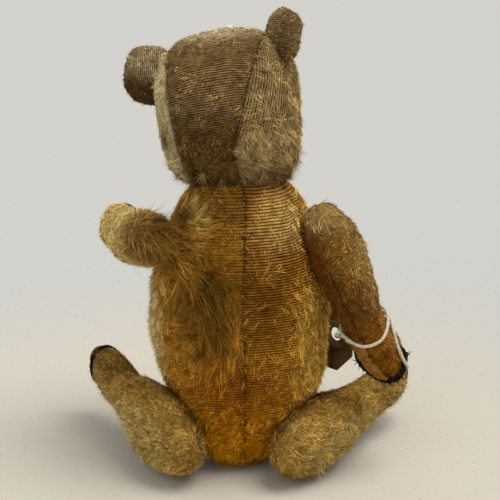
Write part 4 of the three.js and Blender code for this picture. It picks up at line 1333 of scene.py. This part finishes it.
def add_leg(name):
    limb = f"leg_{name}"
    form = limb_form(limb)
    place = limb_place(limb)
    skin = Skin(form, 110, 100)
    p = skin.points
    skin.push(lumps(p, 16, 87) * 0.5 + lumps(p, 6, 88) * 0.2)
    if name == "right":
        p = skin.points
        folds = np.sin((p[:, 2] * 0.9 + p[:, 0] * 0.5) / 2.4) * blob(p, (18, 10, -38), (10, 20, 12))
        skin.push(0.6 * folds)
    press_face(skin)
    skin.flatten((0, 0, SOLE_AT), (0, 0, -1))
    floor_point = to_part(np.array([[0, 0, 0.0]]), place)[0]
    skin.flatten(floor_point, place[1].T @ np.array([0, 0, -1.0]))
    looks = leg_looks(skin, name)
    cloth(f"{limb}_cloth", limb, skin, place, looks, GOLD_BACKING,
          [f"{limb}_inner", f"{limb}_outer"])
    fur(limb, limb, skin, place, looks, "leg", 151)
    sole = Cap(form, (0, 0, SOLE_AT), (0, 0, -1), 0.25, 120, 40)
    rim = sole.rim.copy()
    sole.push(0.1 * lumps(sole.points, 4, 89))
    press_face(sole)
    sole.flatten(floor_point, place[1].T @ np.array([0, 0, -1.0]))
    made = piece(f"{limb}_felt_sole", limb, to_bear(sole.points, place),
                 [sole.quads, sole.tris], SOLE_FELT)
    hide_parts(f"{limb}_sole_pad")
    rng = np.random.default_rng(153)
    rim[:, 0] = np.maximum(rim[:, 0], FACE + 0.6)
    middle = rim.mean(0)
    rim = rim + unit(rim - middle) * 0.4 + np.array([0, 0, SOLE_EDGE_BACK[name]])
    strands = [(np.vstack([rim, rim[:1]]) + rng.normal(size=(len(rim) + 1, 3)) * 0.08, 0.8)]
    for k in range(0, len(rim), 4):
        outward = unit(rim[k] - middle) * 0.35
        bar = [rim[k] - outward * 6 + [0, 0, -0.8], rim[k] + outward, rim[k] + outward + [0, 0, 2.4]]
        strands.append((arc_line(np.array(bar) + rng.normal(size=(1, 3)) * 0.15, 8), 0.32))
    lifted = [(np.maximum(to_bear(path, place), [-999, -999, 0.4]), r) for path, r in strands]
    threads(f"{limb}_sole_stitch", limb, lifted, BLACK_WOOL)
    seams = dashes(seam_line(form, 90, 0.12, 0.80, 90, 0.02), 1.8, 1.4, 0.17, rng, 0.12)
    seams += dashes(seam_line(form, -90, 0.12, 0.80, 90, 0.02), 1.8, 1.4, 0.17, rng, 0.12)
    kept = [(path, r) for path, r in placed(seams, place) if path[:, 2].min() > 0.8]
    threads(f"{limb}_seam", limb, kept, BROWN_THREAD, 5)


# ------------------------------------------------------------------ tag and string

def tag_edge(count):
    """The card's outline, evenly spaced: a long card with its corners cut at the hole's end."""
    low = -TAG["hole_in"]
    high = low + TAG["length"]
    half = TAG["width"] / 2
    cut = TAG["chamfer"]
    corners = np.array([[low, -half + cut], [low + cut, -half], [high, -half], [high, half],
                        [low + cut, half], [low, half - cut], [low, -half + cut]], float)
    run = run_along(corners)
    at = np.linspace(0, run[-1], count, endpoint=False)
    for corner in run[:-1]:
        at[np.argmin(np.abs(at - corner))] = corner
    return points_at(corners, run, at)


def add_tag():
    count, rings = 160, 24
    outline = tag_edge(count)
    turn = np.arctan2(outline[:, 1], outline[:, 0])
    hole = TAG["hole"] * np.stack([np.cos(turn), np.sin(turn)], -1)
    t = np.linspace(0, 1, rings)[:, None, None] ** 1.2
    flat = hole * (1 - t) + outline * t
    reach = np.hypot(flat[..., 0], flat[..., 1])
    warp = 0.25 * np.sin(flat[..., 0] / 17) * np.clip(reach / 12 - 0.6, 0, 1)
    half = TAG["thickness"] / 2
    soft = np.where(np.arange(rings)[:, None] == rings - 1, 0.12, 0.0) + 0 * warp
    front = np.dstack([flat, warp + half - soft])
    back = np.dstack([flat, warp - half + soft])[::-1]
    points = np.concatenate([front, back]).reshape(-1, 3)
    quads = ring_faces(2 * rings, count, closed=True)[:, [0, 3, 2, 1]]
    card = piece("swing_tag_card", "arm_right", to_bear(points, TAG_PLACE), [quads], TAG_CARD)
    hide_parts("swing_tag")


def add_tag_patch():
    """The small round of card glued on the back, that keeps the hole from tearing."""
    sides = 64
    profile = [(3.6, -1.0), (6.3, -1.0), (6.5, -0.9), (6.5, -0.72), (6.3, -0.7), (3.6, -0.7)]
    points = turned(profile, sides)
    patch = piece("tag_patch_card", "arm_right", to_bear(points, TAG_PLACE),
                  [ring_faces(len(profile), sides, closed=True)], DISC_CARD)
    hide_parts("tag_patch")


def string_path(form, place):
    rounds = np.array(STRING_ON_ARM, float)
    wound = on_form(form, rounds[:, 1], np.radians(rounds[:, 0]), STRING["proud"])
    free = to_bear(np.array(STRING_TO_TAG, float), TAG_PLACE)
    return arc_line(np.vstack([to_bear(wound, place), free]), 420)


def add_string(form, place):
    """A three-ply cotton string laid twice round the paw and through the tag."""
    path = string_path(form, place)
    run = run_along(path)
    across, other = sideways(path)
    strands = []
    for k in range(3):
        a = run / STRING["lay"] * 2 * math.pi + k * 2 * math.pi / 3
        twist = np.cos(a)[:, None] * across + np.sin(a)[:, None] * other
        strands.append((path + STRING["offset"] * twist, STRING["ply"]))
    string = threads("tag_string_plies", "arm_right", strands, COTTON, 6)
    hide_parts("tag_string")
    rng = np.random.default_rng(161)
    centre = to_bear(np.array([[0, 0, 3.3]]), TAG_PLACE)[0]
    knot = []
    for k in range(3):
        a = np.linspace(0, 2 * math.pi, 24)
        axis = unit(rng.normal(size=3))
        first = unit(np.cross(axis, [0.3, 0.5, 0.8]))
        second = np.cross(axis, first)
        ring = centre + 1.25 * (np.cos(a)[:, None] * first + np.sin(a)[:, None] * second)
        knot.append((ring, 0.62))
    way = TAG_PLACE[1] @ np.array([0.9, 0.5, 0.5])
    tail = np.stack([centre, centre + way * 3, centre + way * 6 + [0, 0, -0.5]])
    knot += [(arc_line(tail, 12), 0.6)]
    knot += tuft(tail[-1], way, 9, 2.2, 0.13, rng, 0.4)
    tied = threads("tag_string_knot", "arm_right", knot, COTTON, 6)
    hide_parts("string_knot")


# ------------------------------------------------------------------ joint hardware

def finish_hardware():
    """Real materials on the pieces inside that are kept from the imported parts."""
    kinds = dict(disc=DISC_CARD, washer=STEEL, pin=STEEL, stuffing=WOOD_WOOL, filling=WOOD_WOOL)
    for made in bpy.context.scene.objects:
        if made.type != "MESH":
            continue
        for word, material in kinds.items():
            if word in made.name and made.name in frame["nodes"]:
                made.data.materials.clear()
                made.data.materials.append(material)


# ----------------------------------------------------------- the floor and the light

def floor_material():
    """Pale paper sweep, a little warmer and dusty near the object, with fine brown crumbs."""
    def build(tree):
        place = add(tree, "ShaderNodeTexCoord").outputs["Object"]
        reach = add(tree, "ShaderNodeVectorMath", {0: place}, operation="LENGTH").outputs["Value"]
        far = add(tree, "ShaderNodeMapRange", {
            "Value": reach, "From Min": 0.1, "From Max": 0.3}, interpolation_type="SMOOTHSTEP")
        colour = blend(tree, far.outputs[0], linear(FLOOR["near"]), linear(FLOOR["far"]))
        crumbs = ramp(tree, grain(tree, 1.6, 3.0), 0.69, 0.72, 1.0, 0.45)
        return scaled(tree, colour, crumbs), None
    return finish_material("paper_sweep", build, 1.0, specular=0.0)


def add_floor():
    a = np.linspace(0, 2 * math.pi, 96, endpoint=False)
    mesh = bpy.data.meshes.new("floor")
    radius = FLOOR["radius"] * MM
    mesh.from_pydata([(radius * math.cos(b), radius * math.sin(b), -0.0002) for b in a], [],
                     [list(range(len(a)))])
    mesh.materials.append(floor_material())
    made = bpy.data.objects.new("floor", mesh)
    bpy.context.scene.collection.objects.link(made)


def aim(made, place, target):
    made.location = place
    way = Vector(target) - Vector(place)
    made.rotation_euler = way.to_track_quat("-Z", "Y").to_euler()


def add_light(name, place, softness, power, colour):
    """Even daylight from one direction, as soft as a wide window or a bright ceiling."""
    lamp = bpy.data.lights.new(name, "SUN")
    lamp.angle = math.radians(softness)
    lamp.energy = power
    lamp.color = linear(colour)[:3]
    made = bpy.data.objects.new(name, lamp)
    bpy.context.scene.collection.objects.link(made)
    aim(made, place, (0, 0, 0.08))


def add_camera():
    lens = bpy.data.cameras.new("camera")
    lens.lens = CAMERA["lens"]
    lens.sensor_width = CAMERA["sensor"]
    made = bpy.data.objects.new("camera", lens)
    bpy.context.scene.collection.objects.link(made)
    rise = math.radians(CAMERA["elevation"])
    target = np.array(CAMERA["target"])
    place = target + CAMERA["distance"] * np.array([0, math.cos(rise), math.sin(rise)])
    aim(made, tuple(place * MM), tuple(target * MM))
    bpy.context.scene.camera = made


def add_world():
    world = bpy.data.worlds.new("pale_room")
    world.use_nodes = True
    background = world.node_tree.nodes["Background"]
    background.inputs["Color"].default_value = linear(ROOM)
    background.inputs["Strength"].default_value = 1.0
    bpy.context.scene.world = world
    bpy.context.scene.view_settings.view_transform = "Standard"


add_camera()
arm_form, arm_place = add_arm("right")
add_tag()
add_tag_patch()
add_string(arm_form, arm_place)
add_arm_sewing("right", arm_form, arm_place)
add_arm_sewing("left", *add_arm("left"))
add_leg("left")
add_leg("right")
add_body()
add_head()
finish_hardware()
add_floor()
for light in LIGHTS:
    add_light(**light)
add_world()
